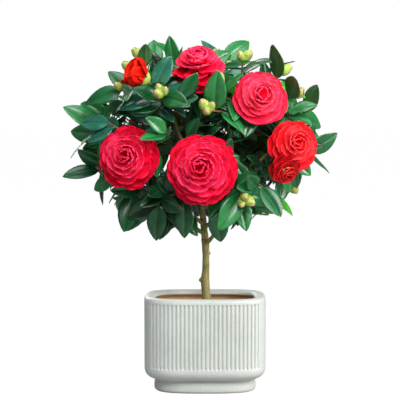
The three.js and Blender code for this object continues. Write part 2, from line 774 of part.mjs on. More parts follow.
// Whether a leaf keeps to its mass's space and off every limb, twig, bud, bloom and other leaf
function leafFits(leaf, mass) {
  for (const point of leaf.points) {
    if (inSpace(mass, point) < SPACE_MARGIN) return false;
    if (point.clone().clamp(CROWN_LOW, CROWN_HIGH).distanceTo(point) > 0) return false;
  }
  const samples = leafSamples(leaf.points);
  for (const point of samples) {
    const isNear = ({ from, to, radius }) => pointDistance(point, from, to) < radius + LEAF_ROOM;
    if (limbs.some(isNear) || allCargo.some((cargo) => touchesCargo(point, cargo, LEAF_ROOM))) return false;
  }
  if (limbs.some(({ from, to }) => piercesLeaf(from, to, leaf))) return false;
  const outer = samples.slice(0, 6);
  for (const { from, to, radius, owner } of allTwigs) {
    if (owner === leaf.shoot) continue;
    if (outer.some((point) => pointDistance(point, from, to) < radius + TWIG_ROOM)) return false;
  }
  return !mass.leaves.some((other) => leavesCross(leaf, other));
}

// Leaf at a place on its twig, with its heading, its upper face's direction and its points
function makeLeaf(shoot, t, round, spread, size) {
  const way = twigPoint(shoot, Math.min(t + NEAR, 1)).sub(twigPoint(shoot, t - NEAR)).normalize();
  const right = sideOf(way);
  const above = way.clone().cross(right);
  const heading = way.clone().multiplyScalar(Math.cos(spread))
    .addScaledVector(right, Math.sin(spread) * Math.cos(round))
    .addScaledVector(above, Math.sin(spread) * Math.sin(round))
    .addScaledVector(UP, -LEAF_SAG)
    .normalize();
  const face = shoot.axis.clone().add(shoot.axis.y < 0.2 ? LIGHT : LIGHT_BEHIND);
  face.addScaledVector(heading, -face.dot(heading)).normalize().applyAxisAngle(heading, size.roll);
  const root = twigPoint(shoot, t).addScaledVector(heading, -LEAF_SINK);
  const leaf = { shoot, root, heading, face, ...size };
  return { ...leaf, points: leafPoints(leaf) };
}

// Leaves of one shoot: each turned on from the one above it and spread further from the axis, and
// steered to either side until it fits
function growLeaves(shoot) {
  const draw = seeded(shoot.seed + LEAF_SEED);
  const twigLength = shoot.root.distanceTo(shoot.tip);
  const isBloom = shoot.kind === 'bloom';
  const clear = isBloom ? shoot.size / 2 * BLOOM_BACK + LEAF_CLEAR : LEAF_CLEAR;
  const { first, step } = isBloom ? BLOOM_LEAF_SPREAD : LEAF_SPREAD;
  for (let i = 0; i < LEAVES_A_SHOOT; i += 1) {
    const t = 1 - (clear + LEAF_STEP * i) / twigLength;
    const wobble = draw() - 0.5;
    const length = LEAF_LENGTH + LEAF_LENGTH_SPREAD * (draw() - 0.5);
    const droop = LEAF_DROOP + LEAF_DROOP_SPREAD * draw();
    const roll = LEAF_ROLL * (draw() - 0.5);
    const spread = first + step * i + LEAF_WOBBLE * wobble;
    for (let turn = 0; turn < LEAF_TRIES && t > TWIG_BARE; turn += 1) {
      const steer = (turn % 2 ? 1 : -1) * Math.ceil(turn / 2) * LEAF_STEER;
      const round = shoot.turn + i * LEAF_TURN + 2 * LEAF_WOBBLE * wobble + steer;
      const size = { length: length * (1 - LEAF_SHRINK * turn), droop, roll };
      const leaf = makeLeaf(shoot, t, round, spread, size);
      if (leafFits(leaf, shoot.mass)) {
        shoot.mass.leaves.push(leaf);
        break;
      }
    }
  }
}

function leafGeometry(leaf) {
  const geometry = new THREE.BufferGeometry().setFromPoints(leaf.points);
  geometry.setIndex(LEAF_FACES);
  return geometry;
}

// Turned geometry whose axis is laid along a direction
function layAlong(geometry, centre, axis) {
  const turn = new THREE.Quaternion().setFromUnitVectors(new THREE.Vector3(0, 1, 0), axis);
  geometry.applyQuaternion(turn);
  geometry.translate(centre.x, centre.y, centre.z);
  return geometry;
}

// Double bloom: tiers of petals as scalloped rings from the calyx behind to the closed middle
function bloomGeometry({ centre, axis, radius, front, back }) {
  const rings = [
    [0, -back, 0], [0.7, -back * 0.62, 0.06], [1, 0, 0.12],
    [0.8, front * 0.46, -0.1], [0.56, front * 0.78, 0.08], [0, front, 0],
  ];
  const profile = rings.map(([out, along]) => new THREE.Vector2(out * radius, along));
  const geometry = new THREE.LatheGeometry(profile, BLOOM_SEGMENTS);
  reshape(geometry, (point) => {
    const out = Math.hypot(point.x, point.z) / radius;
    const wave = rings.find(([share]) => Math.abs(share - out) < 0.01)[2];
    const angle = Math.atan2(point.z, point.x);
    const scallop = 1 - Math.abs(wave) / 2 + wave / 2 * Math.cos(angle * BLOOM_SEGMENTS / 2);
    return new THREE.Vector3(point.x * scallop, point.y, point.z * scallop);
  });
  return layAlong(geometry, centre, axis);
}

// Bud or half-open flower: an egg that comes to a point
function budGeometry({ centre, axis, radius, front, back }, segments) {
  const profile = [[0, -back], [0.92, -back * 0.3], [0.8, front * 0.4], [0, front]];
  const points = profile.map(([out, along]) => new THREE.Vector2(out * radius, along));
  return layAlong(new THREE.LatheGeometry(points, segments), centre, axis);
}

// Straight stretches of a limb, for testing how near a leaf comes
function stretches(pointAt, radiusAt, steps, owner) {
  const list = [];
  for (let i = 0; i < steps; i += 1) {
    list.push({ from: pointAt(i / steps), to: pointAt((i + 1) / steps), radius: radiusAt(i / steps), owner });
  }
  return list;
}

// Mass of foliage as one solid: its stem, twigs, blooms, buds and leaves
function growMass(mass) {
  const own = shoots.filter((shoot) => shoot.mass === mass);
  mass.leaves = [];
  own.forEach(growLeaves);

  const stemRadius = (t) => mass.tipRadius + (STEM_TIP_RADIUS - mass.tipRadius) * t;
  let solid = toSolid(bendLimb((t) => stemPoint(mass, t), stemRadius, STEM_SIDES, STEM_STEPS));
  for (const shoot of own) {
    solid = fuse(solid, bendLimb((t) => twigPoint(shoot, t), () => TWIG_RADIUS, TWIG_SIDES, TWIG_STEPS));
  }
  for (const cargo of own.flatMap(shootCargo)) {
    const segments = cargo.kind === 'bud' ? BUD_SEGMENTS : HALF_OPEN_SEGMENTS;
    solid = fuse(solid, cargo.kind === 'bloom' ? bloomGeometry(cargo) : budGeometry(cargo, segments));
  }
  for (const leaf of mass.leaves) solid = fuse(solid, leafGeometry(leaf));
  return solid;
}

// The limbs and stems, then the shoots whose twigs fit between them
const limbs = [
  ...stretches(trunkPoint, trunkRadius, TRUNK_STEPS),
  ...stretches(leaderPoint, leaderRadius, LEADER_STEPS),
  ...masses.filter((mass) => mass.foot).flatMap((mass) => (
    stretches((t) => boughPoint(mass, t), boughRadius, BOUGH_STEPS))),
  ...masses.flatMap((mass) => (
    stretches((t) => stemPoint(mass, t), () => mass.tipRadius, STEM_STEPS, mass))),
];
const planned = allShoots();
for (const mass of masses) {
  const own = planned.filter((shoot) => shoot.mass === mass);
  own.forEach((shoot, rank) => plantTwig(shoot, rank, own.length));
}
const shoots = planned.filter(twigFits);
const allCargo = shoots.flatMap(shootCargo);
const allTwigs = shoots.flatMap((shoot) => (
  stretches((t) => twigPoint(shoot, t), () => TWIG_RADIUS, TWIG_STEPS, shoot)));

// The whole plant in its pot
const group = new THREE.Group();
group.add(makePot());
group.add(makeSoil());
group.add(toMesh('trunk', trunkSolid(0), BARK));
group.add(toMesh('leader', leaderSolid(0), BARK));
for (const mass of masses.filter(({ foot }) => foot)) {
  const bough = toSolid(bendLimb((t) => boughPoint(mass, t), boughRadius, BOUGH_SIDES, BOUGH_STEPS));
  const clear = bough.subtract(mass.onTrunk ? trunkSolid(GAP) : leaderSolid(GAP));
  group.add(toMesh(`bough_${mass.name}`, clear, BARK));
}
masses.forEach((mass, index) => {
  const finish = { color: FOLIAGE[index % FOLIAGE.length], roughness: 0.5 };
  group.add(toMesh(`foliage_${mass.name}`, growMass(mass), finish));
});

export default group;
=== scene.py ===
"""Camellia shrub in a ribbed, glazed pot: the looks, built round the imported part.

Sizes are in millimetres, as in the part, and turned to metres where a mesh is made.
"""

import math

import bmesh
import bpy
import numpy as np
from mathutils import Matrix, Vector


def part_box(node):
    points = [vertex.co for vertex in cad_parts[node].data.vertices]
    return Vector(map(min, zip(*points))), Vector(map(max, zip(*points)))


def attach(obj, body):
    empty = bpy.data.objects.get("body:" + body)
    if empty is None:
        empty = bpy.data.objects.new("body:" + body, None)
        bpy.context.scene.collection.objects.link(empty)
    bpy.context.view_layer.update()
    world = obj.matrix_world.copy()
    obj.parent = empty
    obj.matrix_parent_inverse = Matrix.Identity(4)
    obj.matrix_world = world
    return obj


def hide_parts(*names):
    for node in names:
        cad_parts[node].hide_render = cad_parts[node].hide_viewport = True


MM = 0.001
UP = np.array([0.0, 0.0, 1.0])
GAP = 0.3

# Camera, as the photo was taken
CAMERA_PLACE = (-0.009, -2.4, 0.541)
CAMERA_DOWN = 4.71
CAMERA_LENS = 120.4
CAMERA_SENSOR = 36
CAMERA_REACH = 50

# Studio: name, place, target, size, power and tint of each lamp; the world; and the floor, which
# gives the camera a share of white and is grey to other rays
LAMPS = [
    ("key", (2.1, -1.15, 1.25), (0, 0, 0.35), (1.0, 1.0), 58, (1.0, 0.98, 0.95)),
    ("top", (-0.2, -0.3, 2.4), (0, 0, 0.4), (1.6, 1.6), 28, (0.94, 0.98, 1.0)),
    ("front", (0.35, -1.8, 1.7), (0, 0, 0.45), (1.0, 1.0), 38, (0.98, 0.99, 1.0)),
    ("back", (-0.9, 2.1, 1.3), (0, 0, 0.4), (1.2, 1.2), 34, (1.0, 1.0, 1.0)),
]
WHITE = (1, 1, 1, 1)
WORLD_LIGHT = 0.16
WORLD_TINT = (0.95, 0.98, 1.0, 1)
FLOOR_SIZE = 30
FLOOR_GREYS = [(0.33, 0.33, 0.33), (0.36, 0.36, 0.36)]
FLOOR_WHITE = 0.9
FLOOR_GLOW = 1.1

# Pot
POT_HEIGHT = 172
POT_HALF_WIDTH = 109.5
POT_HALF_DEPTH = 70
DEPTH_LESS_WIDTH = POT_HALF_DEPTH - POT_HALF_WIDTH
BODY_POWER = 3.6
FOOT_POWER = 3
FOOT_HEIGHT = 24
FOOT_HALF_WIDTH = 92
FOOT_EDGE = 5
BELLY_HEIGHT = 43
WALL = 10
LIP_WIDTH = 20
LIP_DEPTH = 9
LIP_ROUND = 6
LIP_ROUND_HEIGHT = 6.4
LIP_CROWN = 0.25
CAVITY_FLOOR = 34
CAVITY_ROUND = 12
CAVITY_LEVELS = (150, 142, 134, CAVITY_FLOOR + CAVITY_ROUND)
SOIL_LEVEL = 137
SOIL_EDGE_DROP = 3.5
SOIL_TOP_FROM = 132
SOIL_RINGS = 24
SOIL_RING_STEP = 2.2
SOIL_RISE = 2.6
CRUMBS = 420
CRUMB_SEED = 31
CRUMB_SINK = 1.4
CRUMB_ROOM = 17
CRUMB_SIZES = (0.7, 1.6)
GROOVE_PITCH = 7.45
GROOVES_A_SIDE = 13
GROOVE_DEPTH = 2.5
GROOVE_BOTTOM = 46
GROOVE_TOP = 163
GROOVE_ENDS = (0, 0.6, 1.2, 2.0, 3.0, 4.5, 7)
GROOVE_FADE = 2.4
GROOVE_OFFSETS = (-3.1, -2.1, -1.45, -1.05, -0.7, -0.35, 0, 0.35, 0.7, 1.05, 1.45, 2.1, 3.1)
GROOVE_HALF_WIDTH = 2.15
SMOOTH_STEP = 3.4
BARE_FOOT = 2

# Trunk: height, place across and in depth, radius
TRUNK = [
    (SOIL_LEVEL + GAP, 5.5, 1, 14),
    (146, 4.6, 0.8, 10.4),
    (160, 3.4, 0.5, 8.4),
    (178, 1.6, 0, 7),
    (197, 0.2, -0.6, 7.6),
    (216, 1.3, -0.4, 6.3),
    (240, 1.7, 0, 5.9),
    (258, 1.2, 0.2, 6.3),
    (272, 0.6, 0.2, 7),
]
TRUNK_FOOT = TRUNK[0][0]
TRUNK_TOP = TRUNK[-1][0]
FLARE_LOBES = 5
FLARE_HEIGHT = 26
FLARE_DEPTH = 0.16
STUBS = [(194, 180, 12.5, 4.6), (243, -15, 10, 2.8)]
STUB_RISE = math.radians(29)
LIMB_FULLNESS = 1.09
BARK_VOXEL = 1.1
STUB_SIDES = 20
SPLINE_STEPS = {"long": 24, "bough": 14, "stem": 12}

# Leader and boughs
LEADER_TOP = np.array([-9.0, 6, 470])
LEADER_BOW = np.array([-12.0, -3, 372])
LEADER_RADIUS = 6.2
LEADER_TIP_RADIUS = 2.8
BOUGH_RADIUS = 3.7
BOUGH_TIP_RADIUS = 2.7
BOUGH_REACH = 0.62
BOUGH_BEND = np.array([0.62, 0.62, 0.36])
LIMB_STEPS = {"trunk": 10, "leader": 6, "bough": 3}

# Crown
CROWN_CENTRE = np.array([-7.0, 0, 449])
CROWN_HALF = {"across": 195, "depth": 175, "up": 160, "down": 130}
CROWN_POWER = 2.5
CROWN_LOW = np.array([-254, -246, 267])
CROWN_HIGH = np.array([241, 232, 637])
SPACE_MARGIN = 0.5

# Masses of foliage: name, centre across, in depth and up, height of the bough's foot
MASSES = [
    ("top", -2, -28, 116, 0),
    ("front", 2, -128, -31, 311),
    ("left_front", -95, -111, -16, 300),
    ("right_front", 122, -92, -12, 293),
    ("upper_right", 80, -104, 66, 372),
    ("upper_left", -72, -88, 88, 398),
    ("lower_left", -66, -84, -80, 281),
    ("lower_right", 66, -92, -78, 263),
    ("right", 146, 22, 8, 328),
    ("left", -146, 36, -8, 321),
    ("back_left", -84, 118, 8, 338),
    ("back_right", 76, 120, 6, 349),
    ("back_upper", 0, 92, 92, 414),
    ("back_lower", -4, 106, -78, 287),
]

# Shoots placed one by one: across, up, share of the shell's depth, what it carries, its size,
# direction of the first leaf in degrees, and the tint of the spray
SHOOTS = [
    (-5, 141, -1, "bloom", 88, 270, "mid"),
    (101, 80, -1, "bloom", 98, 235, "deep"),
    (-125, -21, -1, "bloom", 110, 180, "bluish_sky_reflection"),
    (3, -41, -1, "bloom", 123, 240, "deep"),
    (160, -3, -1, "bloom", 93, 330, "mid"),
    (144, -46, -1, "bloom", 66, 300, "mid"),
    (-87, 105, -1, "half_open", 47, 150, "bluish_sky_reflection"),
    (-102, 146, -1, "buds", 3, 200, "mid"),
    (-66, 84, -1, "buds", 3, 207, "deep"),
    (10, 58, -1, "buds", 3, 221, "mid"),
    (135, 119, -1, "buds", 2, 25, "fresh"),
    (72, 141, -1, "buds", 2, 132, "deep"),
    (162, 81, -1, "buds", 2, 15, "mid"),
    (72, -88, -1, "buds", 3, 68, "mid"),
    (-135, 92, -1, "buds", 1, 200, "deep"),
    (147, 40, -1, "buds", 1, 3, "mid"),
    (-158, 36, -1, "leaves", 0, 120, "bluish_sky_reflection"),
    (-152, -62, -1, "leaves", 0, 207, "mid"),
    # The two low front sprays below take the dark greens, painted shade under the crown
    (-74, -104, -1, "leaves", 0, 250, "dark"),
    (-28, -98, -1, "leaves", 0, 290, "dark"),
    (-52, 30, -1, "leaves", 0, 160, "mid"),
    (103, -72, -1, "leaves", 0, 308, "deep"),
    (192, -18, -1, "leaves", 0, 250, "deep"),
    (30, 100, -1, "buds", 1, 30, "mid"),
    (-22, 18, -0.66, "leaves", 0, 110, "deep"),
    (40, 22, -0.7, "leaves", 0, 60, "deep"),
    (-44, 128, -0.85, "leaves", 0, 280, "fresh"),
    (40, 146, -0.6, "leaves", 0, 60, "mid"),
    (-84, 40, 1, "bloom", 112, 60, "mid"),
    (88, -28, 1, "bloom", 104, 200, "deep"),
    (6, 108, 1, "bloom", 96, 120, "mid"),
    (-4, -78, 1, "buds", 3, 250, "bluish_sky_reflection"),
    (156, 34, 1, "bloom", 90, 90, "deep"),
    (-178, -34, 1, "bloom", 92, 20, "mid"),
]
TINTS = ["deep", "mid", "bluish_sky_reflection", "fresh", "dark"]
FILL_TINTS = ["deep", "mid", "deep", "bluish_sky_reflection", "dark", "mid", "deep", "fresh"]
FILL_SHOOTS = 60
FILL_FLOOR = -0.74
FILL_SPACING = 50
BUD_EVERY = 3
FILL_JITTER = 0.1
FILL_SEED = 500
BUD_SEED = 2000
LEAF_SEED = 4000
MOST_FILL_BUDS = 2.5
SHOOT_LIFT = 0.3
BLOOM_TURN = 1.4

# Stems and twigs, and the finer twigs that grow from them
STEM_TIP_RADIUS = 2.4
STEM_STEPS = 3
STEM_BEND = 0.45
FIRST_TWIG = 0.35
TWIG_RADIUS = 1.7
TWIG_STEPS = 3
TWIG_LEAD = 0.2
TWIG_REAR = 0.5
TWIG_BARE = 0.15
TWIG_SAMPLE = 0.05
NEAR = 0.02
# Sprays that close the crown's inside: across, depth and up from the crown's centre, and tint; the
# dark tint that most of them take is painted shade
INNER_SHOOTS = [
    (-15, 45, 53, "dark"),
    (30, 45, 33, "dark"),
    (-50, 40, 60, "deep"),
    (50, 50, 66, "deep"),
    (-25, 60, 15, "dark"),
    (30, 60, -5, "dark"),
    (-70, 40, 20, "dark"),
    (80, 40, 20, "dark"),
    (0, 50, -50, "dark"),
    (-75, 30, -50, "deep"),
    (70, 30, -55, "deep"),
    (-28, -58, -122, "mid"),
    (24, -62, -118, "deep"),
    (-4, 40, -118, "dark"),
    (42, 18, 20, "dark"),
    (20, 80, 28, "dark"),
    (-14, 10, 62, "deep"),
    (35, -40, 24, "dark"),
    (46, -12, 30, "dark"),
    (25, 24, 20, "dark"),
    (52, 100, 16, "dark"),
    (30, 112, 42, "dark"),
    (62, 62, 30, "dark"),
    (12, -46, 42, "deep"),
]
INNER_SEED = 8500
SIDE_TWIGS = 5
SIDE_TWIG_SEED = 6000
STEM_SEED = 8000
SIDE_TWIG_RADIUS = 1.1
SIDE_TWIG_FROM = 0.3
SIDE_TWIG_SHARE = 0.5
SIDE_TWIG_SPREAD = (40, 25)
SIDE_TWIG_LENGTH = (26, 26)
SIDE_TWIG_MOST = (0.6, 8)
SIDE_TWIG_LIFT = 0.2
SIDE_TWIG_FACE = 0.6
SIDE_TWIG_LEAD = 0.35
SIDE_TWIG_REAR = 0.3
SIDE_TWIG_STEP = 0.2
SIDE_TWIG_ROOM = 3
SIDE_TWIG_OWN_TINT = 0.6
SIDE_LEAVES = (5, 0.8, 5)
SIDE_LEAF_REACH = 26
TWIG_RINGS = 13
TWIG_SIDES = 8
TWIG_SHAPE_SEED = 77

# Leaves
LEAVES_A_SHOOT = 9
LEAF_TURN = math.radians(144)
LEAF_LENGTH = 72
LEAF_LENGTH_SPREAD = 16
LEAF_HALF_WIDTH = 0.225
LEAF_SHOULDER = 0.3
LEAF_WAIST = 0.68
LEAF_WAIST_WIDTH = 0.88
LEAF_KEEL = 0.36
LEAF_FOLD = 0.03
LEAF_ARCH = 0.25
LEAF_DROOP = 0.12
LEAF_DROOP_SPREAD = 0.2
LEAF_THICKNESS = 1.5
LEAF_CLEAR = 3.5
LEAF_STEP = 7
LEAF_SINK = 0.4
LEAF_SPREAD = (math.radians(44), math.radians(7))
BLOOM_LEAF_SPREAD = (math.radians(78), math.radians(5))
LEAF_WOBBLE = math.radians(14)
LEAF_SAG = 0.14
LEAF_ROLL = math.radians(60)
LIGHT = np.array([0.1, -0.55, 0.5])
LIGHT_BEHIND = np.array([0, 0.2, 0.6])
LEAF_TRIES = 10
LEAF_STEER = math.radians(17)
LEAF_SHRINK = 0.04
LEAF_ROOM = 1.5
TWIG_ROOM = 1
PETIOLE = 0.07
LEAF_FULLNESS = 1.14
LEAF_ROWS = 16
LEAF_COLUMNS = 8
LEAF_SHEET = 0.009
STALK_HALF_WIDTH = 0.011
RIB_HALF_WIDTH = 0.013
LEAF_SHAPE_SEED = 9000
LEAF_WAVE = 0.012
LEAF_TWIST = 0.5
LEAF_BEND = 0.05
# Two greens of each tint, and its roughness
GREENS = {
    "deep": ("064a22", "0e6836", 0.26),
    "mid": ("10642c", "20843e", 0.3),
    # The bluish tint's greens are partly the leaves' own colour and partly a painted reflection of
    # the sky
    "bluish_sky_reflection": ("165a46", "2c7c64", 0.22),
    "fresh": ("2e941e", "52b832", 0.32),
    # The dark tint's greens are painted shade, given to leaves inside the crown and under it
    "dark": ("032e14", "084622", 0.28),
}

# Buds and blooms
BUD_LENGTH = 25
BUD_RADIUS = 8
BUD_TILT = 0.62
LONE_BUD_TILT = 0.15
BUD_SPREAD = 0.3
EGG_BACK = 0.45
EGG_SINK = 0.8
HALF_OPEN_LEAN = math.radians(135)
HALF_OPEN_PLUMP = 0.42
HALF_OPEN_AXIS = (-0.8, -0.35, 0.5)
HALF_OPEN_FOOT = 4
BLOOM_FRONT = 0.36
BLOOM_BACK = 0.4
PETAL_OVERLAP = 0.1
# Along a petal: painted shade at its foot gives way to its body's red, then to a painted highlight
# at its edge
PETAL_SHADE_AND_LIGHT_STEPS = (0.56, 0.86)
PETAL_RISE = (0.68, 0.75)
FIRST_RING = 0.14
# Inner rings turn paler, partly their own colour and partly painted light; the heart drops back a
# step, painted shade in its swirl
PALER_AND_LIT_FROM = (0.15, 0.35)
SHADED_HEART_FROM = 0.8
GOLDEN_TURN = math.radians(137.5)
PETAL_GRID = (11, 8)
BRACT_GRID = (7, 4)
PETAL_SHEET = 0.01
PETAL_CROWDING = 1.7
PETAL_BROADEST = 0.66
PETAL_CURL = (8, 52, 16)
PETAL_LENGTH = (0.99, 0.62)
BLOOM_SEED = 700
HALF_OPEN_SEED = 707
HALF_OPEN_CUP = {"rise": 7, "radius": 11.5, "front": 13, "back": 11, "seed": 78, "flare": 0.1}
HALF_OPEN_TIERS = [(0.0, 0.6, 4), (0.05, 0.95, 5)]
CALYX_BRACTS = 8
CALYX_LENGTH = 15
CALYX_TILT = math.radians(35)
# Tiers of a bud's bracts: where each starts and ends along it, and how many it has
BUD_TIERS = [(0.02, 0.5, 3), (0.06, 0.76, 3), (0.15, 0.97, 2)]
BUD_SHAPE_SEED = 300
EGG_MIDDLE = 0.05
EGG_HALF = 0.5
EGG_POINT = 0.3

# Small bloom that hangs below the fifth: its shoot there, foot on that twig, place and lean
HANGING_FROM = 4
HANGING_FOOT = 0.62
HANGING_PLACE = (145, -136, -47)
HANGING_AXIS = (0.35, -0.75, -0.55)
HANGING_SIZE = 62
HANGING_TURN = 300
HANGING_SEED = 7000
HANGING_PETAL_SEED = 706
HANGING_THICKNESS = 1.3
HANGING_LEAD = 0.35
HANGING_REAR = 0.5

# How each bloom is set: tilt of its outer and inner petals in degrees, how soon they rise, how far
# its middle sits off centre, how much it turns up, its number of petals, their breadth and its size
LOOKS = {
    "flat": (0, 66, 1.3, (0, 0.05), 0, 36, 1.3, 1),
    "swirl_left": (-4, 72, 1.4, (0, 0.06), 0, 50, 1.1, 1),
    "swirl_right": (-6, 72, 1.45, (-0.1, 0.1), 0, 54, 1.1, 1),
    "drooping": (-38, 72, 0.72, (0, 0.03), 0.75, 46, 1.2, 1.15),
    "open": (0, 70, 1.2, (0, 0.1), 0, 42, 1.15, 1),
    "hanging": (-10, 70, 1.0, (0, -0.1), 0, 34, 1.15, 1),
    "half_open": (60, 84, 1.0, (0, 0), 0, 18, 1.25, 1),
}
# Reds of each tone, from the one at the foot of the outer petals to the palest; the darker reds at
# the feet are painted shade, the paler ones at the edges painted highlight, and the inner rings'
# paler reds partly painted light
REDS = {
    "crimson": ("ac0012", "d20020", "f40434", "fc1e4e", "fe4474"),
    "rose": ("a40012", "ce0020", "f60838", "fe2c5a", "ff5480"),
    "coral": ("c80420", "e81036", "fa264c", "fd3e62", "fe5c7c"),
    "scarlet": ("c0020c", "e2081a", "f81a28", "fc343e", "fe525a"),
    "blood": ("8a0208", "aa0812", "c8101c", "de2028", "ee363c"),
    "ember": ("c00a04", "dc1006", "ee1c0a", "f82a12", "fc421e"),
}
# Tone and look of the front blooms in the order of their shoots, and of the back ones in turn
FRONT_BLOOMS = [
    ("rose", "drooping"),
    ("coral", "flat"),
    ("crimson", "swirl_left"),
    ("crimson", "swirl_right"),
    ("scarlet", "open"),
]
BACK_BLOOMS = [("crimson", "flat"), ("rose", "swirl_left"), ("coral", "swirl_right")]


def seeded(seed):
    """Repeatable random numbers between 0 and 1, as the part's source draws them."""
    state = (seed * 7919 + 104729) % 2147483647

    def draw():
        nonlocal state
        state = (state * 16807) % 2147483647
        return state / 2147483647

    return draw


def unit(vector):
    return vector / np.linalg.norm(vector)


def lerp(a, b, t):
    return a + (b - a) * t


def clamp(value):
    return min(max(value, 0), 1)


def bow(a, b, c, t):
    """Place on the quadratic curve of three control points."""
    return lerp(lerp(a, b, t), lerp(b, c, t), t)


def on_chord(point_at, steps, t):
    """Place on the straight stretches that a curve is made of in the part."""
    step = min(int(math.floor(t * steps)), steps - 1)
    return lerp(point_at(step / steps), point_at((step + 1) / steps), t * steps - step)


def side_of(axis):
    return unit(np.cross([0, 0.2, 1], axis))


def sides_of(axis):
    """Two directions square to an axis and to each other."""
    right = side_of(axis)
    return right, np.cross(axis, right)


def spoke(sides, turn):
    """Direction off an axis, at a turn about it."""
    right, above = sides
    return right * math.cos(turn) + above * math.sin(turn)


def turned(vector, axis, angle):
    """Vector turned about an axis."""
    return np.array(Matrix.Rotation(angle, 3, Vector(axis)) @ Vector(vector))


def trunk_at(height):
    upper = next((i for i, row in enumerate(TRUNK) if row[0] >= height), 1)
    low, high = TRUNK[max(upper, 1) - 1], TRUNK[max(upper, 1)]
    share = clamp((height - low[0]) / (high[0] - low[0]))
    return [lerp(a, b, share) for a, b in zip(low[1:], high[1:])]


def trunk_point(t):
    height = lerp(TRUNK_FOOT, TRUNK_TOP, t)
    across, depth, _ = trunk_at(height)
    return np.array([across, depth, height])


def trunk_radius(t):
    return trunk_at(trunk_point(t)[2])[2]


def trunk_share(height):
    return (height - TRUNK_FOOT) / (TRUNK_TOP - TRUNK_FOOT)


def leader_point(t):
    return bow(trunk_point(1) + UP * GAP, LEADER_BOW, LEADER_TOP, t)


def leader_radius(t):
    return lerp(LEADER_RADIUS, LEADER_TIP_RADIUS, t)


def leader_at(height):
    low, high = 0.0, 1.0
    for _ in range(30):
        middle = (low + high) / 2
        if leader_point(middle)[2] < height:
            low = middle
        else:
            high = middle
    return leader_point(low)


class Mass:
    """Mass of foliage with the bough that carries it, planned as in the part's source."""

    def __init__(self, name, across, depth, up, height):
        self.name = name
        self.centre = CROWN_CENTRE + [across, depth, up]
        self.leaves = []
        self.has_bough = height > 0
        if not self.has_bough:
            self.tip, self.tangent, self.tip_radius = LEADER_TOP, UP, LEADER_TIP_RADIUS
            return
        on_trunk = height < TRUNK_TOP
        self.foot = trunk_point(trunk_share(height)) if on_trunk else leader_at(height)
        self.tip = lerp(self.foot, self.centre, BOUGH_REACH)
        self.bend = self.foot + (self.tip - self.foot) * BOUGH_BEND
        self.tangent = unit(self.tip - self.bend)
        self.tip_radius = BOUGH_TIP_RADIUS

    def bough_point(self, t):
        return bow(self.foot, self.bend, self.tip, t)

    def stem_point(self, t):
        foot = self.tip + self.tangent * GAP
        bend = foot + self.tangent * STEM_BEND * np.linalg.norm(self.centre - foot)
        return on_chord(lambda share: bow(foot, bend, self.centre, share), STEM_STEPS, t)

    def smooth_stem_point(self, t):
        """Place on the stem as it is drawn: a smooth curve that starts inside the bough."""
        bend = self.tip + self.tangent * STEM_BEND * np.linalg.norm(self.centre - self.tip)
        return bow(self.tip - self.tangent * 2, bend, self.centre, t)

    def stem_radius(self, t):
        return lerp(self.tip_radius, STEM_TIP_RADIUS, t)


MASS_LIST = [Mass(*row) for row in MASSES]
CENTRES = np.array([mass.centre for mass in MASS_LIST])


def bough_radius(t):
    return lerp(BOUGH_RADIUS, BOUGH_TIP_RADIUS, t)


def in_space(mass, points):
    """Least distance of points inside a mass's own space."""
    points = np.atleast_2d(points)
    own = ((points - mass.centre) ** 2).sum(1)
    least = np.full(len(points), np.inf)
    for other in MASS_LIST:
        if other is not mass:
            nearer = ((points - other.centre) ** 2).sum(1) - own
            least = np.minimum(least, nearer / (2 * np.linalg.norm(other.centre - mass.centre)))
    return least.min()


def shell_height(up):
    return CROWN_HALF["up"] if up > 0 else CROWN_HALF["down"]


def shell_sum(offset):
    halves = np.array([CROWN_HALF["across"], CROWN_HALF["depth"], shell_height(offset[2])])
    return ((np.abs(offset) / halves) ** CROWN_POWER).sum()


def shell_depth(across, up):
    rest = 1 - shell_sum(np.array([across, 0, up]))
    return CROWN_HALF["depth"] * max(rest, 0) ** (1 / CROWN_POWER)


def shell_normal(offset):
    halves = np.array([CROWN_HALF["across"], CROWN_HALF["depth"], shell_height(offset[2])])
    return unit(np.sign(offset) * (np.abs(offset) / halves) ** (CROWN_POWER - 1) / halves)


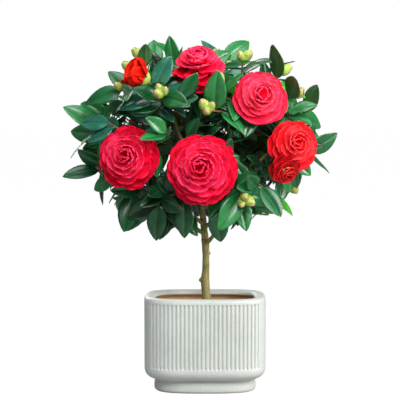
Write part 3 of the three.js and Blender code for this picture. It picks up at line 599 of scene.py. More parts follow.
class Shoot:
    """Where a shoot ends, the way it faces, what it carries and the mass that it grows in."""

    def __init__(self, offset, kind, size, turn, seed, tint):
        axis = shell_normal(offset) + UP * SHOOT_LIFT
        if kind == "bloom" and offset[1] < 0:
            axis[1] -= BLOOM_TURN
        self.axis = unit(axis)
        self.tip = CROWN_CENTRE + offset
        self.kind, self.size, self.turn, self.seed = kind, size, math.radians(turn), seed
        self.tint = tint
        self.mass = MASS_LIST[int(((CENTRES - self.tip) ** 2).sum(1).argmin())]
        self.radius = TWIG_RADIUS

    @classmethod
    def along(cls, course, axis, mass, radius, seed, turn, tint):
        """A shoot of leaves whose course is given: root, lead, rear and tip."""
        shoot = cls.__new__(cls)
        shoot.root, shoot.lead, shoot.rear, shoot.tip = course
        shoot.axis, shoot.mass, shoot.radius = axis, mass, radius
        shoot.seed, shoot.turn, shoot.tint = seed, turn, tint
        shoot.kind, shoot.size = "leaves", 0
        return shoot

    def curve_point(self, t):
        low = bow(self.root, self.lead, self.rear, t)
        return lerp(low, bow(self.lead, self.rear, self.tip, t), t)

    def twig_point(self, t):
        return on_chord(self.curve_point, TWIG_STEPS, t)

    def samples(self, start=0, step=TWIG_SAMPLE):
        """Places along the twig at even steps, up to its tip."""
        return np.array([self.twig_point(t) for t in np.arange(start, 1 + 1e-9, step)])

    def plant(self, rank, count):
        share = FIRST_TWIG + (1 - FIRST_TWIG) * (rank + 0.5) / count
        mass = self.mass
        self.root = mass.stem_point(share)
        span = np.linalg.norm(self.tip - self.root)
        along = unit(mass.stem_point(share + NEAR) - mass.stem_point(share - NEAR))
        self.lead = self.root + along * TWIG_LEAD * span
        pull = TWIG_REAR
        while True:
            self.rear = self.tip - self.axis * pull * span
            pull -= 0.1
            if not (pull > 0 and in_space(mass, self.rear) < 3):
                break

    def cargo(self):
        """What the shoot carries at its tip: kind, centre, axis, radius, front and back."""
        sides = sides_of(self.axis)

        def lean(tilt, turn):
            return unit(self.axis + spoke(sides, turn) * tilt)

        def egg(kind, axis, length, radius):
            back = length * EGG_BACK
            return kind, self.tip + axis * (back - EGG_SINK), axis, radius, length - back, back

        if self.kind == "bloom":
            radius = self.size / 2
            front, back = radius * BLOOM_FRONT, radius * BLOOM_BACK
            return [("bloom", self.tip, self.axis, radius, front, back)]
        if self.kind == "half_open":
            axis = lean(BUD_TILT, HALF_OPEN_LEAN)
            return [egg("half_open", axis, self.size, self.size * HALF_OPEN_PLUMP)]
        if self.kind != "buds":
            return []
        draw = seeded(self.seed + BUD_SEED)
        first = draw() * 2 * math.pi
        found = []
        for i in range(self.size):
            tilt = LONE_BUD_TILT if self.size == 1 else BUD_TILT
            axis = lean(tilt, first + i * 2 * math.pi / self.size)
            share = 1 + BUD_SPREAD * (draw() - 0.5)
            found.append(egg("bud", axis, BUD_LENGTH * share, BUD_RADIUS * share))
        return found


def all_shoots():
    """The listed shoots, then others at even steps over the shell where there is room."""
    shoots = []
    for index, (across, up, share, kind, size, turn, tint) in enumerate(SHOOTS):
        offset = np.array([across, share * shell_depth(across, up), up])
        shoots.append(Shoot(offset, kind, size, turn, index + 1, tint))
    placed = list(shoots)
    for i in range(FILL_SHOOTS):
        height = 1 - (2 * i + 1) / FILL_SHOOTS
        turn = i * math.pi * (3 - math.sqrt(5))
        level = math.sqrt(1 - height * height)
        way = np.array([level * math.cos(turn), level * math.sin(turn), height])
        draw = seeded(FILL_SEED + i)
        offset = way * (1 - FILL_JITTER * draw()) * shell_sum(way) ** (-1 / CROWN_POWER)
        tip = CROWN_CENTRE + offset
        crowded = any(
            np.linalg.norm(other.tip - tip)
            < FILL_SPACING + (other.size / 4 if other.kind == "bloom" else 0)
            for other in placed
        )
        if height < FILL_FLOOR or crowded:
            continue
        kind = "buds" if i % BUD_EVERY == 0 else "leaves"
        buds = 1 + int(math.floor(draw() * MOST_FILL_BUDS))
        tint = FILL_TINTS[i % len(FILL_TINTS)]
        shoots.append(Shoot(offset, kind, buds, draw() * 360, FILL_SEED + i, tint))
    return shoots


class Stretches:
    """Straight stretches of limbs or twigs, held as arrays, for testing how near things come."""

    def __init__(self):
        self.start, self.end, self.radius, self.owner = [], [], [], []

    def add(self, point_at, radius_at, steps, owner=None):
        for i in range(steps):
            self.start.append(point_at(i / steps))
            self.end.append(point_at((i + 1) / steps))
            self.radius.append(radius_at(i / steps))
            self.owner.append(id(owner))

    def near(self, points, room, leave_out=None):
        """Whether any point lies within its radius and room of a stretch."""
        if not self.start:
            return False
        keep = np.array(self.owner) != id(leave_out)
        start, end = np.array(self.start)[keep], np.array(self.end)[keep]
        radius = np.array(self.radius)[keep]
        way = end - start
        away = points[:, None] - start[None]
        share = np.clip((away * way).sum(2) / (way * way).sum(1), 0, 1)
        apart = np.linalg.norm(away - way * share[..., None], axis=2)
        return bool((apart < radius + room).any())


def in_cargo(points, cargo, room):
    _, centre, axis, radius, front, back = cargo
    away = points - centre
    along = away @ axis
    out = np.sqrt(np.maximum((away * away).sum(1) - along * along, 0))
    reach = np.where(along > 0, front, back) + room
    return bool(((out / (radius + room)) ** 2 + (along / reach) ** 2 < 1).any())


def pierces(start, end, triangles):
    """Whether any line of (start, end) passes through any triangle."""
    way = (end - start)[:, None]
    corner, edge_1, edge_2 = (
        triangles[None, :, 0],
        (triangles[:, 1] - triangles[:, 0])[None],
        (triangles[:, 2] - triangles[:, 0])[None],
    )
    normal = np.cross(way, edge_2)
    scale = (edge_1 * normal).sum(2)
    scale = np.where(np.abs(scale) < 1e-12, 1e-12, scale)
    away = start[:, None] - corner
    first = (away * normal).sum(2) / scale
    cross = np.cross(away, edge_1)
    second = (way * cross).sum(2) / scale
    share = (edge_2 * cross).sum(2) / scale
    inside = (first >= 0) & (second >= 0) & (first + second <= 1)
    return bool((inside & (share >= 0) & (share <= 1)).any())


class Leaf:
    """A leaf: root, heading, face, length and droop, with the seven points of its outline."""

    def __init__(self, shoot, root, heading, face, length, droop, tint):
        self.shoot, self.root, self.heading, self.face = shoot, root, heading, face
        self.length, self.droop, self.tint = length, droop, tint
        self.side = np.cross(heading, face)
        waist = LEAF_HALF_WIDTH * LEAF_WAIST_WIDTH
        outline = [
            (0, 0, 0),
            (LEAF_SHOULDER, LEAF_HALF_WIDTH, LEAF_FOLD),
            (LEAF_WAIST, waist, LEAF_FOLD),
            (1, 0, 0),
            (LEAF_WAIST, -waist, LEAF_FOLD),
            (LEAF_SHOULDER, -LEAF_HALF_WIDTH, LEAF_FOLD),
            (LEAF_KEEL, 0, LEAF_FOLD - LEAF_THICKNESS / length),
        ]
        self.points = self.placed(np.array(outline, float))
        rim = self.points[:6]
        following = np.roll(rim, -1, axis=0)
        keel = np.repeat(self.points[6:], 6, axis=0)
        self.triangles = np.stack([rim, following, keel], axis=1)
        self.line_start = np.concatenate([rim, self.points[[0, 6]]])
        self.line_end = np.concatenate([following, self.points[[6, 3]]])
        halves = (rim + following) / 2
        spokes = (rim[1:] + self.points[6]) / 2
        self.samples = np.concatenate([self.points[1:], halves, spokes])
        self.outer = self.points[1:]

    def placed(self, shape):
        """Points along, across and off the leaf, in shares of its length, put in place."""
        along = shape[:, :1]
        lift = shape[:, 2:] + self.droop * along * (LEAF_ARCH - along)
        sideways = self.side * shape[:, 1:2]
        return self.root + self.length * (self.heading * along + sideways + self.face * lift)


def leaf_fits(leaf, crown):
    mass = leaf.shoot.mass
    if in_space(mass, leaf.points) < SPACE_MARGIN:
        return False
    if (leaf.points < CROWN_LOW).any() or (leaf.points > CROWN_HIGH).any():
        return False
    if crown.limbs.near(leaf.samples, LEAF_ROOM):
        return False
    if crown.meets_cargo(leaf.samples, LEAF_ROOM):
        return False
    if pierces(np.array(crown.limbs.start), np.array(crown.limbs.end), leaf.triangles):
        return False
    if crown.twigs.near(leaf.outer, TWIG_ROOM, leave_out=leaf.shoot):
        return False
    for other in mass.leaves:
        apart = np.linalg.norm(leaf.points[6] - other.points[6])
        if apart > (1 - LEAF_KEEL) * (leaf.length + other.length):
            continue
        if pierces(leaf.line_start, leaf.line_end, other.triangles):
            return False
        if pierces(other.line_start, other.line_end, leaf.triangles):
            return False
    return True


def make_leaf(shoot, t, turn, spread, length, droop, roll):
    way = unit(shoot.twig_point(min(t + NEAR, 1)) - shoot.twig_point(t - NEAR))
    outward = spoke(sides_of(way), turn)
    heading = unit(way * math.cos(spread) + outward * math.sin(spread) - UP * LEAF_SAG)
    face = shoot.axis + (LIGHT if shoot.axis[1] < 0.2 else LIGHT_BEHIND)
    face = turned(unit(face - heading * (face @ heading)), heading, roll)
    root = shoot.twig_point(t) - heading * LEAF_SINK
    return Leaf(shoot, root, heading, face, length, droop, shoot.tint)


def grow_leaves(shoot, crown, count, size, step_along):
    """Leaves of one shoot, each steered to either side until it fits."""
    draw = seeded(shoot.seed + LEAF_SEED)
    twig_length = np.linalg.norm(shoot.tip - shoot.root)
    is_bloom = shoot.kind == "bloom"
    clear = (shoot.size / 2 * BLOOM_BACK if is_bloom else 0) + LEAF_CLEAR
    first, step = BLOOM_LEAF_SPREAD if is_bloom else LEAF_SPREAD
    for i in range(count):
        t = 1 - (clear + step_along * i) / twig_length
        wobble = draw() - 0.5
        length = (LEAF_LENGTH + LEAF_LENGTH_SPREAD * (draw() - 0.5)) * size
        droop = LEAF_DROOP + LEAF_DROOP_SPREAD * draw()
        roll = LEAF_ROLL * (draw() - 0.5)
        spread = first + step * i + LEAF_WOBBLE * wobble
        for turn in range(LEAF_TRIES):
            if t <= TWIG_BARE:
                break
            steer = (1 if turn % 2 else -1) * math.ceil(turn / 2) * LEAF_STEER
            around = shoot.turn + i * LEAF_TURN + 2 * LEAF_WOBBLE * wobble + steer
            shrunk = length * (1 - LEAF_SHRINK * turn)
            leaf = make_leaf(shoot, t, around, spread, shrunk, droop, roll)
            if leaf_fits(leaf, crown):
                shoot.mass.leaves.append(leaf)
                break


class Crown:
    """The whole crown: limbs, twigs, what the shoots carry and every leaf."""

    def __init__(self):
        self.limbs, self.twigs = Stretches(), Stretches()
        self.limbs.add(trunk_point, trunk_radius, LIMB_STEPS["trunk"])
        self.limbs.add(leader_point, leader_radius, LIMB_STEPS["leader"])
        for mass in MASS_LIST:
            if mass.has_bough:
                self.limbs.add(mass.bough_point, bough_radius, LIMB_STEPS["bough"])
        for mass in MASS_LIST:
            self.limbs.add(mass.stem_point, lambda t, m=mass: m.tip_radius, STEM_STEPS, mass)
        planned = all_shoots()
        for mass in MASS_LIST:
            own = [shoot for shoot in planned if shoot.mass is mass]
            for rank, shoot in enumerate(own):
                shoot.plant(rank, len(own))
        self.shoots = [shoot for shoot in planned if self.twig_fits(shoot, planned)]
        self.cargo = [cargo for shoot in self.shoots for cargo in shoot.cargo()]
        for shoot in self.shoots:
            self.add_twig(shoot)
        for mass in MASS_LIST:
            for shoot in self.shoots:
                if shoot.mass is mass:
                    grow_leaves(shoot, self, LEAVES_A_SHOOT, 1, LEAF_STEP)
        self.side_twigs = []
        self.hanging = self.hang_bloom()
        for shoot in list(self.shoots):
            self.grow_side_twigs(shoot)
        for number, mass in enumerate(MASS_LIST):
            self.grow_side_twigs(self.stem_as_shoot(mass, STEM_SEED + number))
        for number, (*offset, tint) in enumerate(INNER_SHOOTS):
            self.grow_inner_shoot(np.array(offset), tint, INNER_SEED + number)
        self.leaves = [leaf for mass in MASS_LIST for leaf in mass.leaves]

    def add_twig(self, shoot):
        self.twigs.add(shoot.twig_point, lambda t: shoot.radius, TWIG_STEPS, shoot)

    def meets_cargo(self, points, room):
        return any(in_cargo(points, cargo, room) for cargo in self.cargo)

    def twig_fits(self, shoot, planned):
        samples = shoot.samples()
        if self.limbs.near(samples, TWIG_RADIUS + TWIG_ROOM, leave_out=shoot.mass):
            return False
        return not any(
            in_cargo(samples, cargo, TWIG_RADIUS)
            for other in planned
            if other is not shoot
            for cargo in other.cargo()
        )

    def grow_inner_shoot(self, offset, tint, seed):
        """A spray inside the crown, from the stem of the mass that it falls in."""
        shoot = Shoot(offset, "leaves", 0, seed * 77 % 360, seed, tint)
        shoot.plant(0, 3)
        shoot.radius = SIDE_TWIG_RADIUS
        samples = shoot.samples()
        crossed = self.limbs.near(samples, TWIG_ROOM + SIDE_TWIG_RADIUS, leave_out=shoot.mass)
        if not crossed and not self.meets_cargo(samples, 2):
            self.keep_if_leafed(shoot, LEAVES_A_SHOOT, 1, LEAF_STEP)

    def keep_if_leafed(self, shoot, count, size, step_along):
        """Grows the leaves of a finer twig, and keeps the twig if any of them fits."""
        before = len(shoot.mass.leaves)
        grow_leaves(shoot, self, count, size, step_along)
        if len(shoot.mass.leaves) > before:
            self.side_twigs.append(shoot)
            self.add_twig(shoot)

    @staticmethod
    def stem_as_shoot(mass, seed):
        """A mass's stem, for growing side twigs from it."""
        course = [mass.stem_point(0), mass.stem_point(1 / 3), mass.stem_point(2 / 3), mass.centre]
        axis = unit(mass.centre - course[0])
        # Sprays off the stems lie inside the crown and take the dark greens, painted shade
        return Shoot.along(course, axis, mass, mass.tip_radius, seed, 0, "dark")

    def hang_bloom(self):
        """The small bloom that hangs under its neighbour, on a twig off the neighbour's."""
        shoot = self.shoots[HANGING_FROM]
        place = np.array(HANGING_PLACE)
        side = Shoot(place, "bloom", HANGING_SIZE, HANGING_TURN, HANGING_SEED, "mid")
        side.mass, side.radius = shoot.mass, SIDE_TWIG_RADIUS * HANGING_THICKNESS
        side.axis = unit(np.array(HANGING_AXIS))
        side.root = shoot.twig_point(HANGING_FOOT)
        span = np.linalg.norm(side.tip - side.root)
        side.lead = side.root - UP * HANGING_LEAD * span
        side.rear = side.tip - side.axis * HANGING_REAR * span
        bloom = side.cargo()[0]
        self.side_twigs.append(side)
        self.cargo.append(bloom)
        self.add_twig(side)
        grown = side.mass.leaves
        side.mass.leaves = [leaf for leaf in grown if not in_cargo(leaf.samples, bloom, 0)]
        return side

    def grow_side_twigs(self, shoot):
        """Finer twigs off a twig, within the mass's space and the crown's reach."""
        draw = seeded(shoot.seed + SIDE_TWIG_SEED)
        span = np.linalg.norm(shoot.tip - shoot.root)
        for i in range(SIDE_TWIGS):
            t = SIDE_TWIG_FROM + SIDE_TWIG_SHARE * (i + draw()) / SIDE_TWIGS
            turn = shoot.turn + (i + 0.5) * LEAF_TURN + draw()
            spread = math.radians(SIDE_TWIG_SPREAD[0] + SIDE_TWIG_SPREAD[1] * draw())
            length = SIDE_TWIG_LENGTH[0] + SIDE_TWIG_LENGTH[1] * draw()
            length = min(length, SIDE_TWIG_MOST[0] * span + SIDE_TWIG_MOST[1])
            # Finer twigs that don't keep their shoot's tint take the dark greens, painted shade
            # inside the crown
            tint = shoot.tint if draw() < SIDE_TWIG_OWN_TINT else "dark"
            way = unit(shoot.twig_point(t + NEAR) - shoot.twig_point(t - NEAR))
            outward = spoke(sides_of(way), turn)
            heading = unit(way * math.cos(spread) + outward * math.sin(spread))
            root = shoot.twig_point(t)
            tip = root + unit(heading + UP * SIDE_TWIG_LIFT) * length
            lead = root + heading * length * SIDE_TWIG_LEAD
            rear = tip - unit(tip - root) * length * SIDE_TWIG_REAR
            axis = unit(tip - root + shoot.axis * SIDE_TWIG_FACE * length)
            seed = shoot.seed + SIDE_TWIG_SEED * (i + 2)
            course = [root, lead, rear, tip]
            side = Shoot.along(course, axis, shoot.mass, SIDE_TWIG_RADIUS, seed, turn + 1, tint)
            if self.side_twig_fits(side, shoot, heading):
                self.keep_if_leafed(side, *SIDE_LEAVES)

    def side_twig_fits(self, side, shoot, heading):
        samples = side.samples(SIDE_TWIG_STEP, SIDE_TWIG_STEP)
        if in_space(side.mass, samples) < SIDE_TWIG_ROOM:
            return False
        if shell_sum(side.tip + heading * SIDE_LEAF_REACH - CROWN_CENTRE) > 1:
            return False
        if self.limbs.near(samples, SIDE_TWIG_ROOM) or self.twigs.near(samples, 2, leave_out=shoot):
            return False
        return not self.meets_cargo(samples, SIDE_TWIG_ROOM)


class Value:
    """A node's output, so that sums of sockets read as sums of numbers."""

    def __init__(self, shader, socket):
        self.shader, self.socket = shader, socket

    def __add__(self, other):
        return self.shader.math("ADD", self, other)

    def __mul__(self, other):
        return self.shader.math("MULTIPLY", self, other)

    def __sub__(self, other):
        return self.shader.math("SUBTRACT", self, other)

    def __rsub__(self, other):
        return self.shader.math("SUBTRACT", other, self)

    __radd__ = __add__
    __rmul__ = __mul__


class Shader:
    """Node tree of a new material or world, with one way of adding a node, and a few patterns."""

    def __init__(self, name, is_world=False):
        self.owner = (bpy.data.worlds if is_world else bpy.data.materials).new(name)
        self.owner.use_nodes = True
        self.tree = self.owner.node_tree
        self.tree.nodes.clear()

    def node(self, kind, settings=None, sockets=None):
        node = self.tree.nodes.new(kind)
        for key, setting in (settings or {}).items():
            setattr(node, key, setting)
        for key, value in (sockets or {}).items():
            if isinstance(value, Value):
                self.tree.links.new(value.socket, node.inputs[key])
            else:
                node.inputs[key].default_value = value
        return node

    def out(self, node, name=0):
        return Value(self, node.outputs[name])

    def math(self, operation, first, second):
        return self.out(
            self.node("ShaderNodeMath", {"operation": operation}, {0: first, 1: second})
        )

    def place(self, stretch=(1, 1, 1)):
        """Object coordinates, scaled along each axis."""
        spot = self.out(self.node("ShaderNodeTexCoord"), "Object")
        return self.out(self.node("ShaderNodeMapping", None, {"Vector": spot, "Scale": stretch}))

    def noise(self, scale, detail=4, roughness=0.55, stretch=(1, 1, 1)):
        sockets = {
            "Vector": self.place(stretch),
            "Scale": scale,
            "Detail": detail,
            "Roughness": roughness,
        }
        return self.out(self.node("ShaderNodeTexNoise", None, sockets), "Fac")

    def cells(self, scale, stretch=(1, 1, 1)):
        sockets = {"Vector": self.place(stretch), "Scale": scale}
        return self.out(self.node("ShaderNodeTexVoronoi", None, sockets), "Distance")

    def step(self, value, low, high):
        """Rises from 0 to 1 as the value goes from low to high."""
        sockets = {"Value": value, "From Min": low, "From Max": high}
        return self.out(self.node("ShaderNodeMapRange", None, sockets))

    def blend(self, share, first, second):
        """Blend of two colours, on the colour sockets of a mixing node."""
        ends = [end if isinstance(end, Value) else (*end, 1) for end in (first, second)]
        sockets = {"Factor": share, 6: ends[0], 7: ends[1]}
        return self.out(self.node("ShaderNodeMix", {"data_type": "RGBA"}, sockets), 2)

    def bump(self, height, strength, distance):
        sockets = {"Height": height, "Strength": strength, "Distance": distance}
        return self.out(self.node("ShaderNodeBump", None, sockets), "Normal")

    def principled(self, **sockets):
        """Principled surface; a socket's name is given with underscores for its spaces."""
        named = {key.replace("_", " "): value for key, value in sockets.items()}
        return self.out(self.node("ShaderNodeBsdfPrincipled", None, named))

    def to_camera(self, share, other, seen):
        """What the camera sees, by a share, over what all other rays meet."""
        rays = self.out(self.node("ShaderNodeLightPath"), "Is Camera Ray")
        sockets = {0: rays * share, 1: other, 2: seen}
        return self.out(self.node("ShaderNodeMixShader", None, sockets))

    def finish(self, closure, output="ShaderNodeOutputMaterial"):
        self.node(output, None, {"Surface": closure})
        return self.owner

    def surface(self, **sockets):
        return self.finish(self.principled(**sockets))


def colour(code):
    """Linear colour of a hex code as seen on screen."""
    parts = [int(code[i : i + 2], 16) / 255 for i in (0, 2, 4)]
    return tuple(p / 12.92 if p <= 0.04045 else ((p + 0.055) / 1.055) ** 2.4 for p in parts)


def glaze_material():
    """Matt off-white glaze, faintly green, with fine speckle."""
    s = Shader("off_white_glaze")
    cloud = s.step(s.noise(14), 0.35, 0.65)
    speckle = s.step(s.noise(620, 3), 0.5, 0.68) * 0.3
    fine = s.step(s.noise(420, 3), 0.3, 0.7)
    base = s.blend(cloud, colour("c9cec8"), colour("d2d6d1"))
    base = s.blend(speckle, base, colour("8d938c"))
    return s.surface(
        Base_Color=base,
        Roughness=fine * 0.14 + 0.42,
        Normal=s.bump(fine, 0.12, 0.0006),
        Coat_Weight=0.12,
        Coat_Roughness=0.35,
    )


def clay_material():
    """Bare fired clay, tan, as under the lip and at the foot."""
    s = Shader("bare_clay")
    cloud = s.step(s.noise(26), 0.3, 0.7)
    grain = s.noise(900, 4)
    base = s.blend(cloud, colour("dcae7c"), colour("eec89c"))
    base = s.blend(s.step(grain, 0.6, 0.8) * 0.4, base, colour("96704a"))
    return s.surface(
        Base_Color=base, Roughness=grain * 0.2 + 0.75, Normal=s.bump(grain, 0.4, 0.0008)
    )


def soil_material(name, dark, light):
    """Damp potting soil."""
    s = Shader(name)
    clods = s.cells(260)
    grain = s.noise(700, 5, 0.7)
    base = s.blend(s.step(clods * 0.6 + grain * 0.6, 0.25, 0.75), colour(dark), colour(light))
    return s.surface(
        Base_Color=base, Roughness=grain * 0.2 + 0.8, Normal=s.bump(grain, 0.8, 0.0015)
    )


def bark_material():
    """Khaki bark with long fine cracks, pale lichen and green moss patches."""
    s = Shader("khaki_bark")
    fibre = s.noise(420, 5, 0.65, (1, 1, 0.18))
    plate = s.cells(150, (1, 1, 0.3))
    patch = s.noise(55, 4, 0.6)
    base = s.blend(s.step(fibre, 0.3, 0.7), colour("7c703e"), colour("b0a468"))
    base = s.blend(s.step(patch, 0.48, 0.64) * 0.75, base, colour("5f7430"))
    base = s.blend(s.step(s.noise(130, 3), 0.6, 0.72) * 0.5, base, colour("b9b294"))
    return s.surface(
        Base_Color=base,
        Roughness=fibre * 0.2 + 0.7,
        Normal=s.bump(fibre * 0.7 + plate * 0.5, 0.6, 0.0009),
    )


def twig_material():
    """Young wood: warm brown with green showing through."""
    s = Shader("young_wood")
    streak = s.noise(260, 4, 0.6)
    base = s.blend(s.step(s.noise(22), 0.38, 0.62), colour("6d4f2c"), colour("6f6c34"))
    base = s.blend(s.step(streak, 0.45, 0.75) * 0.5, base, colour("a98f5f"))
    return s.surface(
        Base_Color=base, Roughness=streak * 0.2 + 0.55, Normal=s.bump(streak, 0.4, 0.0004)
    )


def leaf_material(name, low, high, roughness):
    """Leaf's upper side: glossy, mottled, with side veins that follow its length."""
    s = Shader(name)
    axes = s.node("ShaderNodeSeparateXYZ", None, {0: s.out(s.node("ShaderNodeUVMap"))})
    along, across = s.out(axes, "X"), s.out(axes, "Y")
    outward = s.math("ABSOLUTE", across, 0)
    wave = s.math("SINE", (along * 2 - outward * 0.55) * 34, 0)
    vein = s.step(wave, 0.86, 1.0) * (1 - outward * 0.7)
    mottle = s.step(s.noise(42, 4), 0.3, 0.7)
    base = s.blend(mottle, colour(low), colour(high))
    base = s.blend(vein * 0.16, base, colour("6c9c58"))
    return s.surface(
        Base_Color=base,
        Roughness=mottle * 0.12 + roughness,
        Normal=s.bump(wave * 0.25 + s.noise(220, 2) * 0.5, 0.22, 0.0008),
        Specular_IOR_Level=0.4,
        Coat_Weight=0.5,
        Coat_Roughness=0.22,
    )


def plain_plant_material(name, low, high, roughness, scale=60):
    """Surface of a plant's part, mottled between two colours."""
    s = Shader(name)
    mottle = s.step(s.noise(scale, 4), 0.3, 0.7)
    return s.surface(
        Base_Color=s.blend(mottle, colour(low), colour(high)),
        Roughness=mottle * 0.1 + roughness,
        Normal=s.bump(s.noise(scale * 5, 3), 0.15, 0.0005),
    )


def petal_material(name, low, high):
    """Petal: soft, with fine streaks."""
    s = Shader(name)
    streak = s.step(s.noise(90, 4, 0.6), 0.3, 0.7)
    return s.surface(
        Base_Color=s.blend(streak * 0.6, colour(low), colour(high)),
        Roughness=streak * 0.1 + 0.55,
        Normal=s.bump(s.noise(300, 3), 0.15, 0.0004),
        Specular_IOR_Level=0.1,
    )


def deselect():
    if bpy.context.object and bpy.context.object.mode != "OBJECT":
        bpy.ops.object.mode_set(mode="OBJECT")
    bpy.ops.object.select_all(action="DESELECT")


def make_active(piece):
    deselect()
    bpy.context.view_layer.objects.active = piece
    piece.select_set(True)


def apply_modifier(piece, kind, **settings):
    make_active(piece)
    modifier = piece.modifiers.new(kind.lower(), kind)
    for key, value in settings.items():
        setattr(modifier, key, value)
    bpy.ops.object.modifier_apply(modifier=modifier.name)


def finish_piece(piece, name, replaced):
    """Names the piece, lets it ride with the plant and hides the nodes it stands for."""
    piece.name = piece.data.name = name
    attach(piece, "root")
    if replaced:
        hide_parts(*replaced)


def mesh_arrays(piece):
    """Vertices and quads or triangles of a finished template, as arrays."""
    mesh = piece.data
    points = np.array([v.co for v in mesh.vertices], float)
    faces = [tuple(p.vertices) for p in mesh.polygons]
    slots = np.array([p.material_index for p in mesh.polygons])
    bpy.data.objects.remove(piece)
    return points, faces, slots


class Joiner:
    """Collects many small copies as arrays, and makes one mesh of them."""

    def __init__(self):
        self.points, self.faces, self.slots, self.uvs = [], [], [], []
        self.count = 0

    def add(self, points, faces, slots, uv=None):
        self.points.append(points)
        self.faces.extend(tuple(i + self.count for i in face) for face in faces)
        self.slots.append(slots)
        if uv is not None:
            self.uvs.append(uv)
        self.count += len(points)

    def build(self, name, materials):
        mesh = bpy.data.meshes.new(name)
        mesh.from_pydata((np.concatenate(self.points) * MM).tolist(), [], self.faces)
        mesh.polygons.foreach_set("material_index", np.concatenate(self.slots).astype(np.int32))
        mesh.polygons.foreach_set("use_smooth", np.ones(len(self.faces), bool))
        if self.uvs:
            layer = mesh.uv_layers.new(name="along_and_across")
            corners = np.empty(len(mesh.loops), np.int32)
            mesh.loops.foreach_get("vertex_index", corners)
            layer.data.foreach_set("uv", np.concatenate(self.uvs)[corners].ravel())
        for material in materials:
            mesh.materials.append(material)
        mesh.update()
        piece = bpy.data.objects.new(name, mesh)
        bpy.context.scene.collection.objects.link(piece)
        return piece


def select_row(mesh, axis, place, reach):
    """In edit mode, selects just the vertices at a place along an axis."""
    for vertex in mesh.verts:
        vertex.select = abs(vertex.co[axis] - place) < reach
    mesh.select_flush(True)
    mesh.select_flush(False)


def blade_template(rows, columns, half_width, lift, thickness, crowding=1.0):
    """Thin blade from (0, 0, 0) to (1, 0, 0): a grid whose rows are scaled to the outline.

    Crowding over 1 draws the rows together towards the tip.
    """
    deselect()
    bpy.ops.mesh.primitive_grid_add(
        x_subdivisions=columns, y_subdivisions=rows, size=1, location=(0, 0.5, 0)
    )
    piece = bpy.context.object
    bpy.ops.object.transform_apply(location=True)
    bpy.ops.object.mode_set(mode="EDIT")
    bpy.ops.mesh.select_mode(type="VERT")
    mesh = bmesh.from_edit_mesh(piece.data)
    for i in reversed(range(rows + 1)):
        place = 1 - (1 - i / rows) ** crowding
        select_row(mesh, 1, i / rows, 0.2 / rows)
        bmesh.update_edit_mesh(piece.data)
        bpy.ops.transform.resize(value=(2 * half_width(place), 1, 1))
        bpy.ops.transform.translate(value=(0, place - i / rows, 0))
    bpy.ops.object.mode_set(mode="OBJECT")
    for vertex in piece.data.vertices:
        y, x, _ = vertex.co
        share = -y / max(half_width(clamp(x)), 1e-6)
        vertex.co = (x, -y, lift(x, share))
    apply_modifier(piece, "SOLIDIFY", thickness=thickness, offset=0, use_even_offset=False)
    return piece


def leaf_half_width(u):
    """Half width of a leaf along its length: a stalk, then an oval blade drawn to a point."""
    if u < PETIOLE:
        return STALK_HALF_WIDTH
    s = (u - PETIOLE) / (1 - PETIOLE)
    oval = math.sin(math.pi * s**0.82) ** 0.72
    teeth = 1 + (0.018 if int(round(u * LEAF_ROWS)) % 2 else -0.012)
    return max(LEAF_FULLNESS * LEAF_HALF_WIDTH * oval * teeth, 0.004)


def leaf_lift(x, share):
    """Folded a little along its midrib, which is sunk, with the edges turned down."""
    rise = LEAF_FOLD * 1.5 * abs(share) ** 1.2 - 0.016 * abs(share) ** 4
    return rise * math.sin(math.pi * clamp(x)) ** 0.5 - 0.004 * max(1 - abs(share) * 5, 0)


def leaf_template():
    piece = blade_template(LEAF_ROWS, LEAF_COLUMNS, leaf_half_width, leaf_lift, LEAF_SHEET)
    for face in piece.data.polygons:
        if face.normal.z < 0.2:
            face.material_index = 1
        elif abs(face.center.y) < RIB_HALF_WIDTH and face.center.x > PETIOLE:
            face.material_index = 2
        if face.center.x < PETIOLE:
            face.material_index = 2
    for vertex in piece.data.vertices:
        near_rib = abs(vertex.co.y) > 1e-6 and 0 < vertex.co.x < 1
        if near_rib and abs(vertex.co.y) < 0.3 * leaf_half_width(vertex.co.x):
            vertex.co.y *= 0.16 if vertex.co.x > PETIOLE else 1
    return mesh_arrays(piece)


def grow_leaf_pieces(crown, foliage):
    """Every leaf as a copy of one modelled leaf, arched, rolled and waved each its own way."""
    points, faces, slots = leaf_template()
    half = np.array([leaf_half_width(clamp(x)) for x in points[:, 0]])
    uv = np.stack([points[:, 0], points[:, 1] / np.maximum(half, 0.01)], axis=1)
    joiners = {tint: Joiner() for tint in TINTS}
    for number, leaf in enumerate(crown.leaves):
        draw = seeded(LEAF_SHAPE_SEED + number)
        shape = points.copy()
        along, share = shape[:, 0], uv[:, 1]
        wave, phase, twist = LEAF_WAVE * draw(), 7 * draw(), LEAF_TWIST * (draw() - 0.5)
        shape[:, 2] += wave * np.sin(along * 9 + phase) * share**2
        shape[:, 2] += twist * along * shape[:, 1]
        shape[:, 1] += LEAF_BEND * (draw() - 0.5) * np.sin(math.pi * along)
        joiners[leaf.tint].add(leaf.placed(shape), faces, slots, uv)
    under = plain_plant_material("leaf_underside", "3c6b38", "557f48", 0.55)
    rib = plain_plant_material("leaf_midrib", "4f7d3a", "6d9450", 0.45)
    for tint, joiner in joiners.items():
        upper = leaf_material(f"leaf_{tint}", *GREENS[tint])
        piece = joiner.build(f"leaves_{tint}", [upper, under, rib])
        finish_piece(piece, f"leaves_{tint}", foliage)


